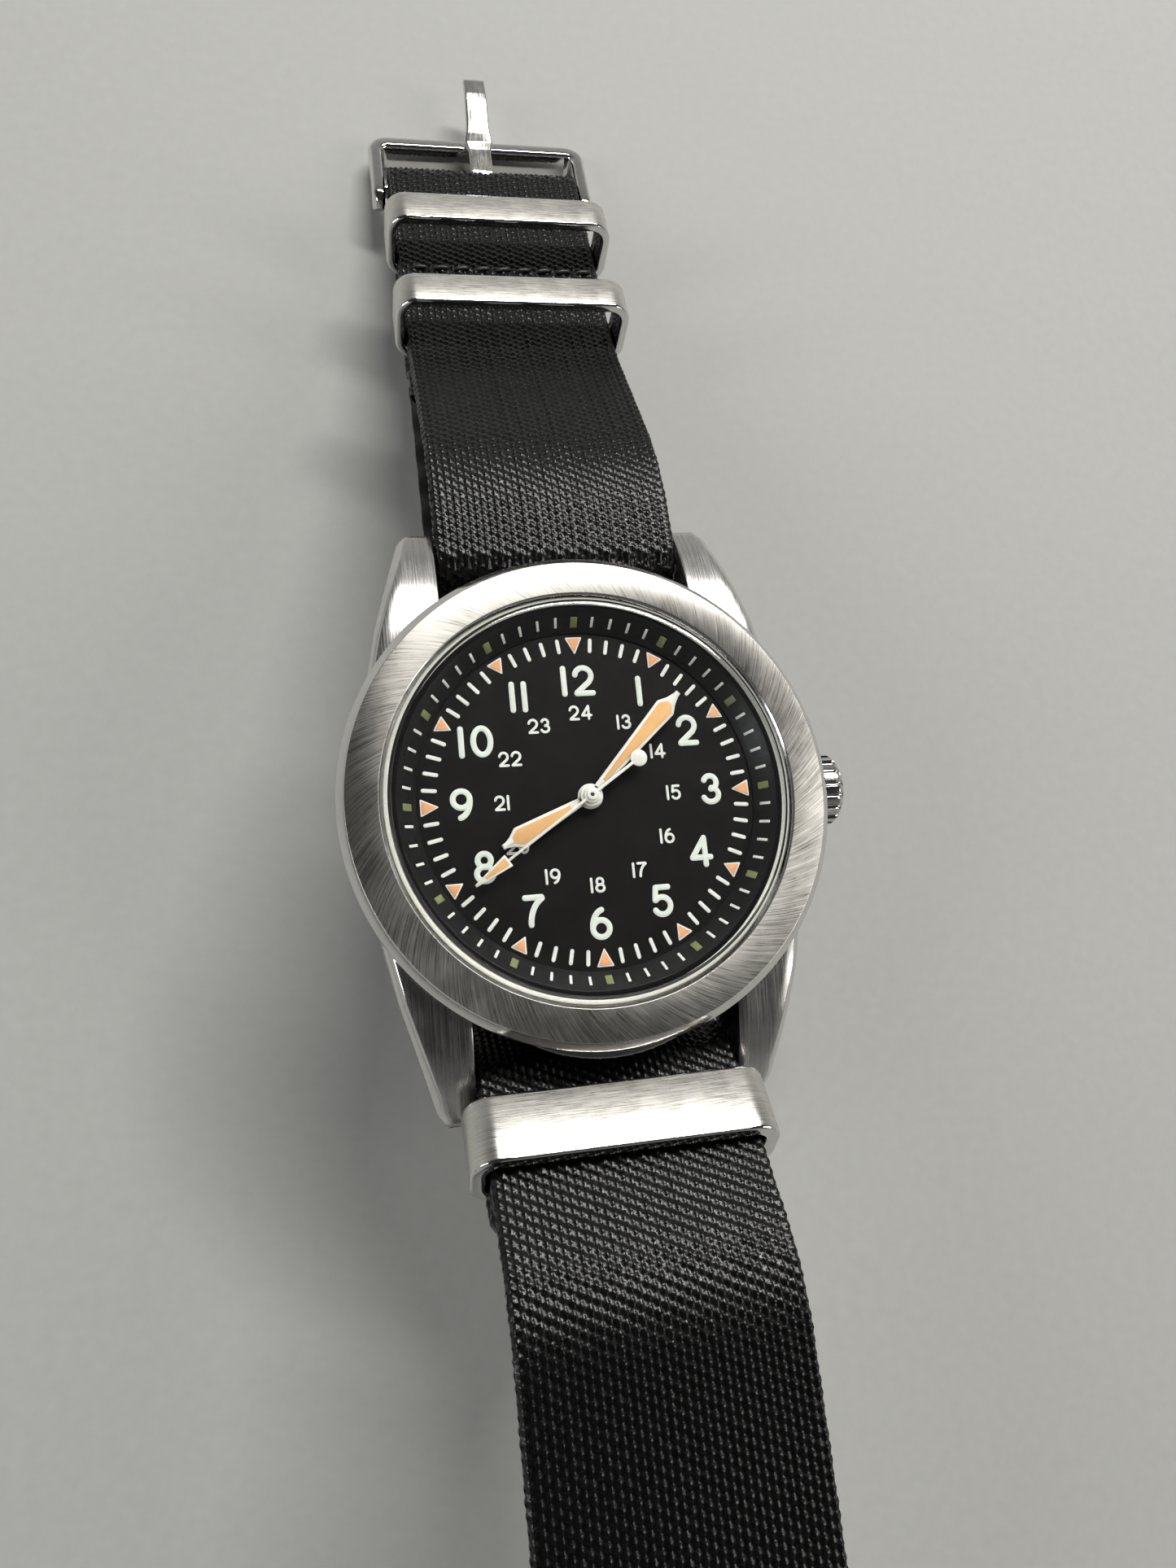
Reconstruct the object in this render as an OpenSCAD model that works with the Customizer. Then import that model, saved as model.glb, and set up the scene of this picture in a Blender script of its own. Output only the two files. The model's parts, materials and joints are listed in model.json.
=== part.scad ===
// Three-hand field wristwatch with a steel case on a one-piece pull-through webbing strap.
// Millimetres, +Z up. +Y points to 12 o'clock and the buckle, +X to 3 o'clock and the crown.
// Head frame: X = Y = 0 on the hand axis, Z = 0 on the dial's face. Everything is then
// shifted once so that the origin lies at the bottom centre of the bounding box.

/* [Case] */
// outer radius of the bezel ring
bezel_r = 19; // [17:0.05:22]
// top of the flat bezel face above the dial
bezel_top = 2.4; // [1.8:0.1:3.5]
// radius of the polished inner edge of the bezel
bezel_in_r = 15.6; // [14:0.05:17]
// outer radius of the case band
case_r = 18.2; // [16:0.1:21]
// bore for the movement holder
bore_r = 15; // [13:0.05:16]
// underside of the case band below the dial
case_low = -6.6; // [-9:0.1:-5]
// underside of the case back
back_low = -8.2; // [-11:0.1:-7]
// half of the gap between a pair of lugs
lug_gap = 10.15; // [9:0.05:12]
// lug tip distance from the centre
lug_tip = 23.5; // [20:0.1:27]
// spring bar distance from the centre
bar_y = 21; // [19:0.1:24]
// spring bar height
bar_z = -3.7; // [-5:0.1:-2]

/* [Crown] */
// crown axis height
crown_z = -2.7; // [-4:0.1:-2]
// crown radius over the flutes
crown_r = 2.9; // [2:0.05:4]
// inner face of the crown, pushed in
crown_x0 = 18.5; // [17:0.1:22]
// length of the crown
crown_len = 3.2; // [2:0.1:5]

/* [Dial and hands] */
// dial radius
dial_r = 14.2; // [12:0.1:15]
// visible dial radius at the foot of the chapter ring
ring_in_r = 13.15; // [11:0.05:14]
// top inner radius of the chapter ring
ring_top_r = 14.6; // [12:0.05:15]
// top of the chapter ring
ring_top = 1.5; // [0.8:0.1:2]
// hour hand tip radius
hour_len = 7.8; // [5:0.1:9]
// minute hand tip radius
minute_len = 11; // [8:0.1:12]
// seconds hand tip radius
second_len = 11.2; // [8:0.1:13]
// direction of the hour hand, degrees clockwise from 12
hour_dir = 243.8; // [0:0.1:360]
// direction of the minute hand
minute_dir = 45; // [0:0.1:360]
// direction of the seconds hand
second_dir = 236.2; // [0:0.1:360]

/* [Strap] */
// webbing width
web_w = 20; // [16:0.5:24]
// webbing thickness
web_t = 1.2; // [0.8:0.1:1.8]
// centre height of the webbing under the case
web_z = -8.95; // [-11:0.05:-8.5]
// flat length of the tail on the floor
tail_flat = 55; // [20:1:90]
// keeper band width along the strap
keeper_w = 3.8; // [3:0.1:6]
// slide ring band width along the strap
slide_w = 5.2; // [3:0.1:7]
// metal thickness of the rings
ring_t = 1.2; // [0.8:0.1:2]
keeper_t = 0.9; // [0.7:0.1:1.5]
// diameter of the adjusting holes
hole_d = 2; // [1.5:0.1:3]

/* [Hidden] */
$fn = 64;
e = 0.01;
bar_wrap = 1.45; // webbing centre radius over a spring bar
climb = 62;      // webbing slope between case and spring bar
climb_r = 3;
out12 = -6;      // slope on leaving the 12 side bar
out6 = 34;       // slope on leaving the 6 side bar
tan_y = bar_y - bar_wrap*sin(climb);
tan_z = bar_z + bar_wrap*cos(climb);
climb_l = (tan_z - web_z - climb_r*(1 - cos(climb)))/sin(climb);
under_l = tan_y - climb_r*sin(climb) - climb_l*cos(climb);
function arc(r, a) = [abs(r*a*PI/180), a];
head = [[under_l, 0], arc(climb_r, climb), [climb_l, 0]];
buck_r = 1.65; // webbing centre radius round the buckle bar
segs12 = concat(head, [arc(bar_wrap, out12 - climb), [3, 0], arc(24, -25), [11, 0], arc(34, 14), [21, 0]]);
arch_top = 9.2;
tail_drop = 62;
segs6a = concat(head, [arc(bar_wrap, out6 - climb), [13.6, 0], arc(14, 3 - out6), [20, 0], arc(26, -3 - tail_drop)]);

function step(s, p) = let(T = s[1], n = T == 0 ? max(1, ceil(s[0]/8)) : max(2, ceil(abs(T)/5)))
    [for (i = [1:n]) let(t = i/n, a = p[2] + T*t) T == 0
        ? [p[0] + s[0]*t*cos(p[2]), p[1] + s[0]*t*sin(p[2]), a]
        : let(R = s[0]/(T*PI/180)) [p[0] + R*(sin(a) - sin(p[2])), p[1] - R*(cos(a) - cos(p[2])), a]];
function walk(ss, p, k = 0) = k >= len(ss) ? [p]
    : let(q = step(ss[k], p)) concat([p], [for (i = [0:1:len(q) - 2]) q[i]], walk(ss, q[len(q) - 1], k + 1));
p12 = walk(segs12, [0, web_z, 0]);
p6a = walk(segs6a, [0, web_z, 0]);
q6 = p6a[len(p6a) - 1];
b12 = p12[len(p12) - 1];       // webbing end at the buckle: y, z, slope
function off(p, n) = [p[0] - n*sin(p[2]), p[1] + n*cos(p[2])];
bar_c = off(b12, -buck_r);     // buckle bar centre
buck_far = 7.4;
buck_h = 1.3;
floor_z = bar_c[1] + buck_far*sin(b12[2]) - buck_h*cos(b12[2]);  // the buckle's far edge rests on the floor
tongue_len = 12.6;
tongue_end = bar_c[0] + (tongue_len - 0.036)*cos(b12[2]) - 5.148*sin(b12[2]);
flat_z = floor_z + web_t/2;
foot_r = 12;
drop_l = (q6[1] - flat_z - foot_r*(1 - cos(tail_drop)))/sin(tail_drop);
p6 = concat(p6a, [for (i = [1:len(walk([[drop_l, 0], arc(foot_r, tail_drop), [tail_flat, 0]], q6)) - 1])
    walk([[drop_l, 0], arc(foot_r, tail_drop), [tail_flat, 0]], q6)[i]]);
n6 = len(p6);
n12 = len(p12);
tail_y = -p6[n6 - 1][0];
// a state a given distance back from the buckle along the last straight
function back12(s) = [b12[0] - s*cos(b12[2]), b12[1] - s*sin(b12[2]), b12[2]];
keep1_s = 11.4;                // keeper stations back from the buckle
keep2_s = 23.1;
seam_s = 30.7;                   // end of the folded-back layer
function bell(s, c) = let(d = abs(s - c)) d >= 4.6 ? 0 : d <= 2.4 ? 1 : (1 + cos(180*(d - 2.4)/2.2))/2;
function gap(s) = web_t + 0.12 + (2*buck_r - web_t - 0.12)*max(bell(s, keep1_s), bell(s, keep2_s), s < 4 ? (1 + cos(180*s/4))/2 : 0);
turn_pts = [for (a = [0:12:180]) let(c = off(b12, -buck_r)) [c[0] + buck_r*sin(a - b12[2] + 0) , c[1] + buck_r*cos(a - b12[2])]];
fold_pts = [for (s = [0.6:0.7:seam_s]) off(back12(s), -gap(s))];
main_pts = concat([for (i = [n6 - 1:-1:1]) [-p6[i][0], p6[i][1]]], [for (i = [0:n12 - 2]) [p12[i][0], p12[i][1]]], turn_pts, fold_pts);

function nrm(P, i) = let(a = P[max(0, i - 1)], b = P[min(len(P) - 1, i + 1)], d = b - a, l = norm(d)) [-d[1]/l, d[0]/l];
function side(P, h) = [for (i = [0:len(P) - 1]) P[i] + h*nrm(P, i)];
function rev(L) = [for (i = [len(L) - 1:-1:0]) L[i]];
module ribbon(P, t, w) rotate([90, 0, 90]) linear_extrude(w, center = true) polygon(concat(side(P, t/2), rev(side(P, -t/2))));

// slide ring station on the 6 side: distance out from the spring bar tangent
slide_s = 5.2;
s6 = p6a[len(walk(concat(head, [arc(bar_wrap, out6 - climb)]), [0, web_z, 0])) - 1];
slide_p = [s6[0] + slide_s*cos(out6), s6[1] + slide_s*sin(out6)];
// short strap: under the rings, under the case, round the slide ring's lower bar
k1 = slide_w/2 + 1.1;
low_n = -(web_t*1.5 + 0.15 + ring_t/2 + 0.18 + 0.3);   // lower bar centre under the strap centre
function sl(u, n) = [-(slide_p[0] + u*cos(out6) - n*sin(out6)), slide_p[1] + u*sin(out6) + n*cos(out6)];
wrap_h = ring_t/2 + 0.14 + web_t/2;
short_loop = concat([for (u = [-slide_w/2 - 1.4, -slide_w/4, slide_w/4, k1 - 0.6]) sl(u, low_n + wrap_h)],
    [for (a = [-72:18:72]) sl(k1 - 0.6 + wrap_h*cos(a), low_n - wrap_h*sin(a))],
    [for (u = [k1 - 0.6, slide_w/4, -slide_w/4, -slide_w/2 - 1.4]) sl(u, low_n - wrap_h)]);
short_z = web_z - web_t - 0.12;
ss0 = off(back12(28), -(2*web_t + 0.3));
ss1 = off(back12(31.3), -(2*web_t + 0.3));
function bez(A, C, B, t) = (1 - t)*(1 - t)*A + 2*t*(1 - t)*C + t*t*B;
short_pts = concat([ss0], [for (t = [0:0.1:0.9]) bez(ss1, [26, short_z - 0.4], [15, short_z], t)], [[15, short_z], [5, short_z], [-5, short_z]],
    [for (a = [0:4:32]) [-under_l - (climb_r + web_t + 0.12)*sin(a), short_z + (climb_r + web_t + 0.12)*(1 - cos(a))]], rev(short_loop));

buck_in = 10.35;  // half of the buckle's inner width
buck_out = 11.75;

org = [-(crown_x0 + crown_len - bezel_r)/2, -(tail_y + tongue_end)/2, -floor_z];

module head_frame() translate(org) children();
module ringp(pts) rotate_extrude($fn = 128) polygon(pts);
module tube(ro, ri, z0, z1, fn = 64) translate([0, 0, z0]) difference() {
    cylinder(r = ro, h = z1 - z0, $fn = fn);
    translate([0, 0, -1]) cylinder(r = ri, h = z1 - z0 + 2, $fn = fn);
}
module at_hand(d) rotate([0, 0, -d]) children();
module along_x(x, y, z) translate([x, y, z]) rotate([0, 90, 0]) children();
module rrect(w, h, r) {
    square([w - 2*r, h], center = true);
    square([w, h - 2*r], center = true);
    for (x = [-1, 1], y = [-1, 1]) translate([x*(w/2 - r), y*(h/2 - r)]) circle(r = r, $fn = 32);
}
// a flat toothed wheel, teeth as small trapezoids
module wheel(r, n, z0, h, d = 0.16) translate([0, 0, z0]) linear_extrude(h) polygon([for (i = [0:n - 1],
    q = [[-0.30, r - d], [-0.14, r], [0.14, r], [0.30, r - d]]) let(a = (i + q[0])*360/n) [q[1]*cos(a), q[1]*sin(a)]]);
module spokes(ro, ri, n, z0, h) for (i = [0:n - 1]) rotate([0, 0, i*360/n]) translate([(ro + ri)/2, 0, z0]) cylinder(r = (ro - ri)/2, h = h, $fn = 32);

// ---- case ----
module lug_one() {
    difference() {
        intersection() {
            translate([0, 0, -9]) linear_extrude(12) polygon([[lug_gap, 11], [16.2, 6], [16.75, 7.5], [15.35, 14.2], [13.05, 22.3], [12.2, lug_tip], [lug_gap, lug_tip]]);
            rotate([90, 0, 90]) translate([0, 0, 9]) linear_extrude(9) polygon([[5, case_low], [5, 0.25], [14, 0.2], [18, -0.55], [lug_tip - 0.6, -2.7], [lug_tip, -3.7], [lug_tip - 0.2, -5.7], [lug_tip - 1.4, -6.5], [12, case_low]]);
        }
        // polished bevel along the outer edge
        translate([13.05, 22.3, -2.6]) rotate([0, 0, 14.6]) rotate([17, 0, 0]) rotate([0, 45, 0]) translate([-3, -20, 0.36]) cube([6, 40, 3]);
        // spring bar hole
        along_x(lug_gap - 1, bar_y, bar_z) cylinder(r = 0.5, h = 2.4, $fn = 32);
    }
}
module mid_case() color([0.72, 0.72, 0.73]) head_frame() difference() {
    union() {
        ringp([[bore_r, case_low], [16.9, case_low], [17.9, -4.2], [case_r, -2.6], [case_r, -0.1], [17.9, 0.25], [17.4, 0.25], [17.4, 0.95], [bore_r, 0.95]]);
        // short ledges between the lugs
        for (m = [0, 1]) mirror([0, m, 0]) difference() {
            translate([0, 7.05, -0.75]) cylinder(r = 12.55, h = 1, $fn = 128);
            translate([0, 0, -2]) cylinder(r = 16.5, h = 4, $fn = 128);
            translate([-20, -20, -2]) cube([40, 34, 4]);
        }
        for (m = [0, 1], k = [0, 1]) mirror([0, m, 0]) mirror([k, 0, 0]) difference() {
            lug_one();
            translate([0, 0, -10]) cylinder(r = 16.4, h = 20, $fn = 128);
        }
    }
    along_x(13, 0, crown_z) cylinder(r = 1.25, h = 8, $fn = 48);
    // recess behind the crown
    along_x(crown_x0 - 0.55, 0, crown_z) cylinder(r = 2.2, h = 3, $fn = 64);
}
module bezel() color([0.7, 0.7, 0.7]) head_frame()
    ringp([[bezel_in_r, 0.95], [17.45, 0.95], [17.45, 0.3], [bezel_r - 0.15, 0.3], [bezel_r, 0.5], [bezel_r, bezel_top - 0.75], [bezel_r - 0.62, bezel_top], [bezel_in_r + 0.35, bezel_top], [bezel_in_r, bezel_top - 0.25]]);
module crystal() color([0.8, 0.88, 0.92, 0.5]) head_frame()
    ringp([[0, 1.75], [8, 1.72], [13.6, 1.6], [14.65, ring_top], [15.3, ring_top], [15.3, 2.7], [14.95, 2.98], [12, 3.1], [9, 3.2], [6, 3.27], [3, 3.31], [0, 3.32]]);
module crystal_gasket() color([0.85, 0.86, 0.85]) head_frame()
    ringp([[bore_r, 0.95], [bezel_in_r - 0.01, 0.95], [bezel_in_r - 0.01, 2.1], [15.31, 2.1], [15.31, ring_top], [bore_r, ring_top]]);
module chapter_ring() color([0.09, 0.09, 0.09]) head_frame()
    ringp([[ring_in_r, 0], [14.95, 0], [14.95, ring_top], [ring_top_r, ring_top], [ring_in_r, 0.12]]);
module dial() color([0.05, 0.05, 0.05]) head_frame() difference() {
    translate([0, 0, -0.4]) cylinder(r = dial_r, h = 0.4, $fn = 128);
    translate([0, 0, -1]) cylinder(r = 0.8, h = 2, $fn = 48);
}
module movement_holder() color([0.85, 0.85, 0.8]) head_frame() difference() {
    union() { tube(14.9, 13, -5.3, -0.42, 96); }
    along_x(12, 0, crown_z) cylinder(r = 1.35, h = 4, $fn = 48);
    for (a = [60, 180, 300]) rotate([0, 0, a]) translate([13.1, -1.5, -6]) cube([3, 3, 1.6]);
}
module case_back() color([0.68, 0.68, 0.69]) head_frame() difference() {
    ringp([[0, back_low], [14.9, back_low], [15.2, back_low + 0.3], [15.2, -7.55], [16.2, -7.45], [16.2, case_low - 0.02], [14.85, case_low - 0.02], [14.85, -5.5], [14.15, -5.5], [14.15, -7.3], [0, -7.3]]);
    for (a = [0:60:300]) rotate([0, 0, a + 30]) translate([14.2, -1, back_low - 1]) cube([1.4, 2, 1.35]);
    translate([0, 0, -6.95]) rotate_extrude($fn = 128) translate([15.55, 0]) square([0.5, 0.5]);
}
module back_gasket() color([0.08, 0.08, 0.08]) head_frame() translate([0, 0, -6.78]) rotate_extrude($fn = 128) translate([15.8, 0]) circle(r = 0.155, $fn = 24);

// ---- crown and stem ----
module crown_tube() color([0.7, 0.7, 0.7]) head_frame() along_x(15.05, 0, crown_z) difference() {
    union() { cylinder(r = 1.24, h = 3.75, $fn = 48); translate([0, 0, 3.2]) cylinder(r = 1.45, h = 0.5, $fn = 48); }
    translate([0, 0, -1]) cylinder(r = 0.68, h = 8, $fn = 48);
}
module crown() color([0.75, 0.75, 0.76]) head_frame() difference() {
    along_x(crown_x0, 0, crown_z) rotate_extrude($fn = 96)
        polygon([[0, 0.75], [1.0, 0.75], [1.0, 0.95], [1.85, 0.95], [1.85, 0], [crown_r - 0.2, 0], [crown_r, 0.3], [crown_r, crown_len - 0.85], [crown_r - 0.25, crown_len - 0.5], [crown_r - 0.55, crown_len - 0.4], [1.6, crown_len - 0.12], [0.8, crown_len - 0.02], [0, crown_len]]);
    for (i = [0:17]) translate([0, 0, crown_z]) rotate([i*20, 0, 0]) translate([crown_x0 - 1, 0, crown_r + 0.16]) rotate([0, 90, 0]) cylinder(r = 0.36, h = crown_len + 0.5, $fn = 20);
}
module crown_gasket() color([0.08, 0.08, 0.08]) head_frame() along_x(crown_x0 + 0.62, 0, crown_z) rotate_extrude($fn = 64) translate([1.66, 0]) circle(r = 0.17, $fn = 20);
module winding_stem() color([0.6, 0.62, 0.65]) head_frame() {
    along_x(5.2, 0, crown_z) cylinder(r = 0.3, h = 1.0, $fn = 32);
    along_x(6.2, 0, crown_z) cylinder(r = 0.55, h = 1.6, $fn = 32);
    along_x(7.8, 0, crown_z) rotate([0, 0, 45]) cylinder(r = 0.55, h = 3.2, $fn = 4);
    along_x(11, 0, crown_z) cylinder(r = 0.62, h = 1.0, $fn = 32);
    along_x(12, 0, crown_z) cylinder(r = 0.45, h = 0.5, $fn = 32);
    along_x(12.5, 0, crown_z) cylinder(r = 0.62, h = crown_x0 + 0.75 - 12.5, $fn = 32);
}
module sliding_pinion() color([0.6, 0.6, 0.62]) head_frame() along_x(9.05, 0, crown_z) difference() {
    union() { wheel(1.15, 14, 0, 0.7, 0.2); translate([0, 0, 0.7]) cylinder(r = 0.78, h = 0.6, $fn = 32); translate([0, 0, 1.3]) cylinder(r = 1.15, h = 0.6, $fn = 32); }
    translate([0, 0, -1]) rotate([0, 0, 45]) cylinder(r = 0.62, h = 4, $fn = 4);
}
module winding_pinion() color([0.6, 0.6, 0.62]) head_frame() along_x(6.6, 0, crown_z) difference() {
    wheel(1.25, 16, 0, 2.3, 0.2);
    translate([0, 0, -1]) cylinder(r = 0.6, h = 5, $fn = 32);
}

// ---- movement ----
barrel_p = [-5.36, 4.5];
third_p = [3.945, -3.31];
escape_p = [-1.642, -4.511];
pallet_p = [-3.6, -6.6];
balance_p = [-5.15, -8.2];
minw_p = [1.625, -2.815];
module main_plate() color([0.75, 0.7, 0.55]) head_frame() difference() {
    translate([0, 0, -3.3]) cylinder(r = 12.9, h = 2, $fn = 128);
    translate([0, 0, -4]) cylinder(r = 0.5, h = 4, $fn = 32);
    translate([5, -1.45, -4]) cube([6.0, 2.9, 4]);
    along_x(11, 0, crown_z) cylinder(r = 0.7, h = 3, $fn = 32);
    translate([2.5, -0.4, -4]) cube([3, 0.8, 1.7]);
    for (p = [barrel_p, third_p, escape_p, pallet_p, balance_p]) translate([p[0], p[1], -4]) cylinder(r = p == barrel_p ? 0.65 : 0.45, h = 1.4, $fn = 32);
    translate([0, 0, -1.55]) cylinder(r = 1.1, h = 1, $fn = 32);
    translate([minw_p[0], minw_p[1], -2]) cylinder(r = 0.3, h = 1, $fn = 24);
    for (a = [20, 80, 300]) rotate([0, 0, a]) translate([11.6, 0, -4]) cylinder(r = 0.5, h = 4, $fn = 32);
}
module train_bridge() color([0.78, 0.78, 0.76]) head_frame() difference() {
    union() {
        translate([0, 0, -5.35]) cylinder(r = 12.9, h = 0.4, $fn = 128);
        for (a = [20, 80, 300]) rotate([0, 0, a]) translate([11.6, 0, -5.15]) cylinder(r = 1.0, h = 1.85, $fn = 32);
    }
    translate([-14, -14, -6]) rotate([0, 0, -3]) cube([10.5, 11.6, 3]);
    for (p = [[0, 0], barrel_p, third_p]) translate([p[0], p[1], -6]) cylinder(r = p == barrel_p ? 0.65 : 0.3, h = 3, $fn = 32);
    translate([escape_p[0], escape_p[1], -6]) cylinder(r = 0.3, h = 3, $fn = 32);
    for (a = [20, 80, 300]) rotate([0, 0, a]) translate([11.6, 0, -7]) cylinder(r = 0.5, h = 4, $fn = 32);
}
module balance_cock() color([0.78, 0.78, 0.76]) head_frame() difference() {
    union() {
        translate([balance_p[0], balance_p[1], -5.35]) cylinder(r = 1.3, h = 0.35, $fn = 48);
        translate([balance_p[0], balance_p[1], -5.35]) rotate([0, 0, 141.5]) translate([0, -0.8, 0]) cube([6.96, 1.6, 0.35]);
        translate([-10.6, -3.87, -5.35]) cylinder(r = 0.95, h = 2.05, $fn = 32);
    }
    translate([balance_p[0], balance_p[1], -6]) cylinder(r = 0.25, h = 2, $fn = 24);
}
module plate_jewels() color([0.75, 0.1, 0.25]) head_frame() for (p = [third_p, escape_p, pallet_p, balance_p]) translate([p[0], p[1], -2.95]) difference() {
    cylinder(r = 0.44, h = 0.3, $fn = 32);
    translate([0, 0, -1]) cylinder(r = 0.16, h = 2, $fn = 24);
}
module bridge_screws() color([0.3, 0.35, 0.5]) head_frame() for (a = [20, 80, 300]) rotate([0, 0, a]) translate([11.6, 0, 0]) difference() {
    union() { translate([0, 0, -5.6]) cylinder(r = 0.75, h = 0.25, $fn = 32); translate([0, 0, -5.35]) cylinder(r = 0.46, h = 3.4, $fn = 32); }
    translate([-1, -0.08, -5.7]) cube([2, 0.16, 0.22]);
}
module mainspring_barrel() color([0.8, 0.68, 0.35]) head_frame() translate([barrel_p[0], barrel_p[1], 0]) {
    difference() { wheel(5.7, 76, -3.95, 0.55); translate([0, 0, -4.5]) cylinder(r = 0.4, h = 2, $fn = 24); }
    translate([0, 0, -5.3]) cylinder(r = 0.6, h = 2.5, $fn = 32);
}
module center_wheel() color([0.85, 0.72, 0.38]) head_frame() difference() {
    union() {
        wheel(1.25, 16, -3.95, 0.55, 0.2);
        difference() { wheel(4.5, 75, -4.25, 0.16); spokes(3.9, 1.3, 5, -5, 2); }
        translate([0, 0, -4.1]) cylinder(r = 0.45, h = 4.95, $fn = 32);
        wheel(0.8, 12, -1.2, 0.26, 0.14);
    }
    translate([0, 0, -5]) cylinder(r = 0.2, h = 8, $fn = 24);
}
module third_wheel() color([0.85, 0.72, 0.38]) head_frame() translate([third_p[0], third_p[1], 0]) {
    difference() { wheel(4.48, 80, -4.52, 0.14); spokes(3.85, 1.2, 5, -5, 2); }
    wheel(0.6, 10, -4.38, 0.3, 0.12);
    translate([0, 0, -5.3]) cylinder(r = 0.14, h = 2.6, $fn = 24);
    translate([0, 0, -4.5]) cylinder(r = 0.35, h = 0.3, $fn = 24);
}
module fourth_wheel() color([0.85, 0.72, 0.38]) head_frame() {
    difference() { wheel(4.2, 75, -4.82, 0.14); spokes(3.6, 0.9, 4, -5, 2); }
    wheel(0.56, 10, -4.68, 0.34, 0.12);
    translate([0, 0, -5.3]) cylinder(r = 0.15, h = 6.6, $fn = 24);
}
module escape_wheel() color([0.6, 0.6, 0.62]) head_frame() translate([escape_p[0], escape_p[1], 0]) {
    difference() { wheel(2.1, 20, -3.62, 0.14, 0.4); spokes(1.55, 0.5, 4, -4, 1); }
    wheel(0.56, 10, -4.82, 0.3, 0.12);
    translate([0, 0, -5.3]) cylinder(r = 0.14, h = 2.6, $fn = 24);
}
module pallet_fork() color([0.6, 0.6, 0.62]) head_frame() translate([pallet_p[0], pallet_p[1], 0]) {
    translate([0, 0, -3.95]) cylinder(r = 0.14, h = 1.3, $fn = 24);
    translate([0, 0, -3.86]) linear_extrude(0.14) union() {
        circle(r = 0.4, $fn = 24);
        rotate([0, 0, 226]) translate([0, -0.14]) square([1.0, 0.28]);
        rotate([0, 0, 46]) translate([-0.1, -0.95]) square([0.3, 1.9]);
    }
}
module balance_wheel() color([0.85, 0.72, 0.38]) head_frame() translate([balance_p[0], balance_p[1], 0]) {
    tube(3.0, 2.6, -4.5, -4.1, 96);
    difference() {
        translate([-2.7, -0.2, -4.4]) cube([5.4, 0.4, 0.2]);
        translate([0, 0, -5]) cylinder(r = 0.1, h = 2, $fn = 16);
    }
    translate([0, 0, -5.3]) cylinder(r = 0.15, h = 2.55, $fn = 24);
    translate([0, 0, -3.8]) cylinder(r = 0.7, h = 0.14, $fn = 32);
}
module hairspring() color([0.45, 0.5, 0.65]) head_frame() translate([balance_p[0], balance_p[1], -4.85]) linear_extrude(0.16)
    polygon(concat([for (a = [0:15:1440]) let(r = 0.34 + 1.4*a/1440) [r*cos(a), r*sin(a)]], [for (a = [1440:-15:0]) let(r = 0.34 + 1.4*a/1440 - 0.07) [r*cos(a), r*sin(a)]]));
module minute_wheel() color([0.85, 0.72, 0.38]) head_frame() translate([minw_p[0], minw_p[1], 0]) {
    wheel(2.4, 36, -1.2, 0.16, 0.14);
    wheel(0.64, 10, -1.05, 0.5, 0.12);
    translate([0, 0, -1.95]) cylinder(r = 0.25, h = 0.8, $fn = 24);
}
module hour_wheel() color([0.85, 0.72, 0.38]) head_frame() difference() {
    union() { wheel(2.56, 40, -0.85, 0.2, 0.14); translate([0, 0, -0.85]) cylinder(r = 0.75, h = 1.3, $fn = 32); }
    translate([0, 0, -2]) cylinder(r = 0.5, h = 4, $fn = 32);
}
module rotor_plate() color([0.75, 0.75, 0.74]) head_frame() difference() {
    intersection() { tube(12.6, 1.2, -6.0, -5.75, 96); union() { translate([-14, -14, -7]) cube([28, 14.6, 2]); translate([0, 0, -7]) cylinder(r = 2.4, h = 2, $fn = 48); } }
    for (a = [210, 270, 330]) rotate([0, 0, a]) translate([6.8, 0, -7]) cylinder(r = 2.2, h = 2, $fn = 48);
}
module rotor_weight() color([0.55, 0.55, 0.58]) head_frame() intersection() {
    tube(13.7, 11.4, -6.9, -6.0, 96);
    translate([-14, -14, -7]) cube([28, 14.2, 2]);
}
module rotor_bearing() color([0.6, 0.6, 0.62]) head_frame() {
    translate([0, 0, -6.3]) cylinder(r = 1.5, h = 0.3, $fn = 48);
    translate([0, 0, -6.0]) cylinder(r = 1.15, h = 0.65, $fn = 48);
}

// ---- hands, drawn pointing to 12 then turned ----
module dagger(len, w, sh, root, h) {
    // boss, widening blade, narrow blunt tip
    cylinder(r = root, h = h, $fn = 48);
    linear_extrude(h) polygon([[-0.3, root - 0.4], [-w, sh], [-w*0.62, sh + 0.32*(len - sh)], [-0.24, len - 0.5], [-0.2, len], [0.2, len], [0.24, len - 0.5], [w*0.62, sh + 0.32*(len - sh)], [w, sh], [0.3, root - 0.4]]);
}
module hour_hand() color([0.96, 0.95, 0.92]) head_frame() at_hand(hour_dir) translate([0, 0, 0.45]) difference() {
    dagger(hour_len, 0.84, hour_len - 1.45, 0.98, 0.18);
    translate([0, 0, -1]) cylinder(r = 0.5, h = 3, $fn = 32);
}
module minute_hand() color([0.96, 0.95, 0.92]) head_frame() at_hand(minute_dir) translate([0, 0, 0.85]) difference() {
    dagger(minute_len, 0.84, minute_len - 1.7, 0.86, 0.16);
    translate([0, 0, -1]) cylinder(r = 0.2, h = 3, $fn = 24);
}
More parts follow.
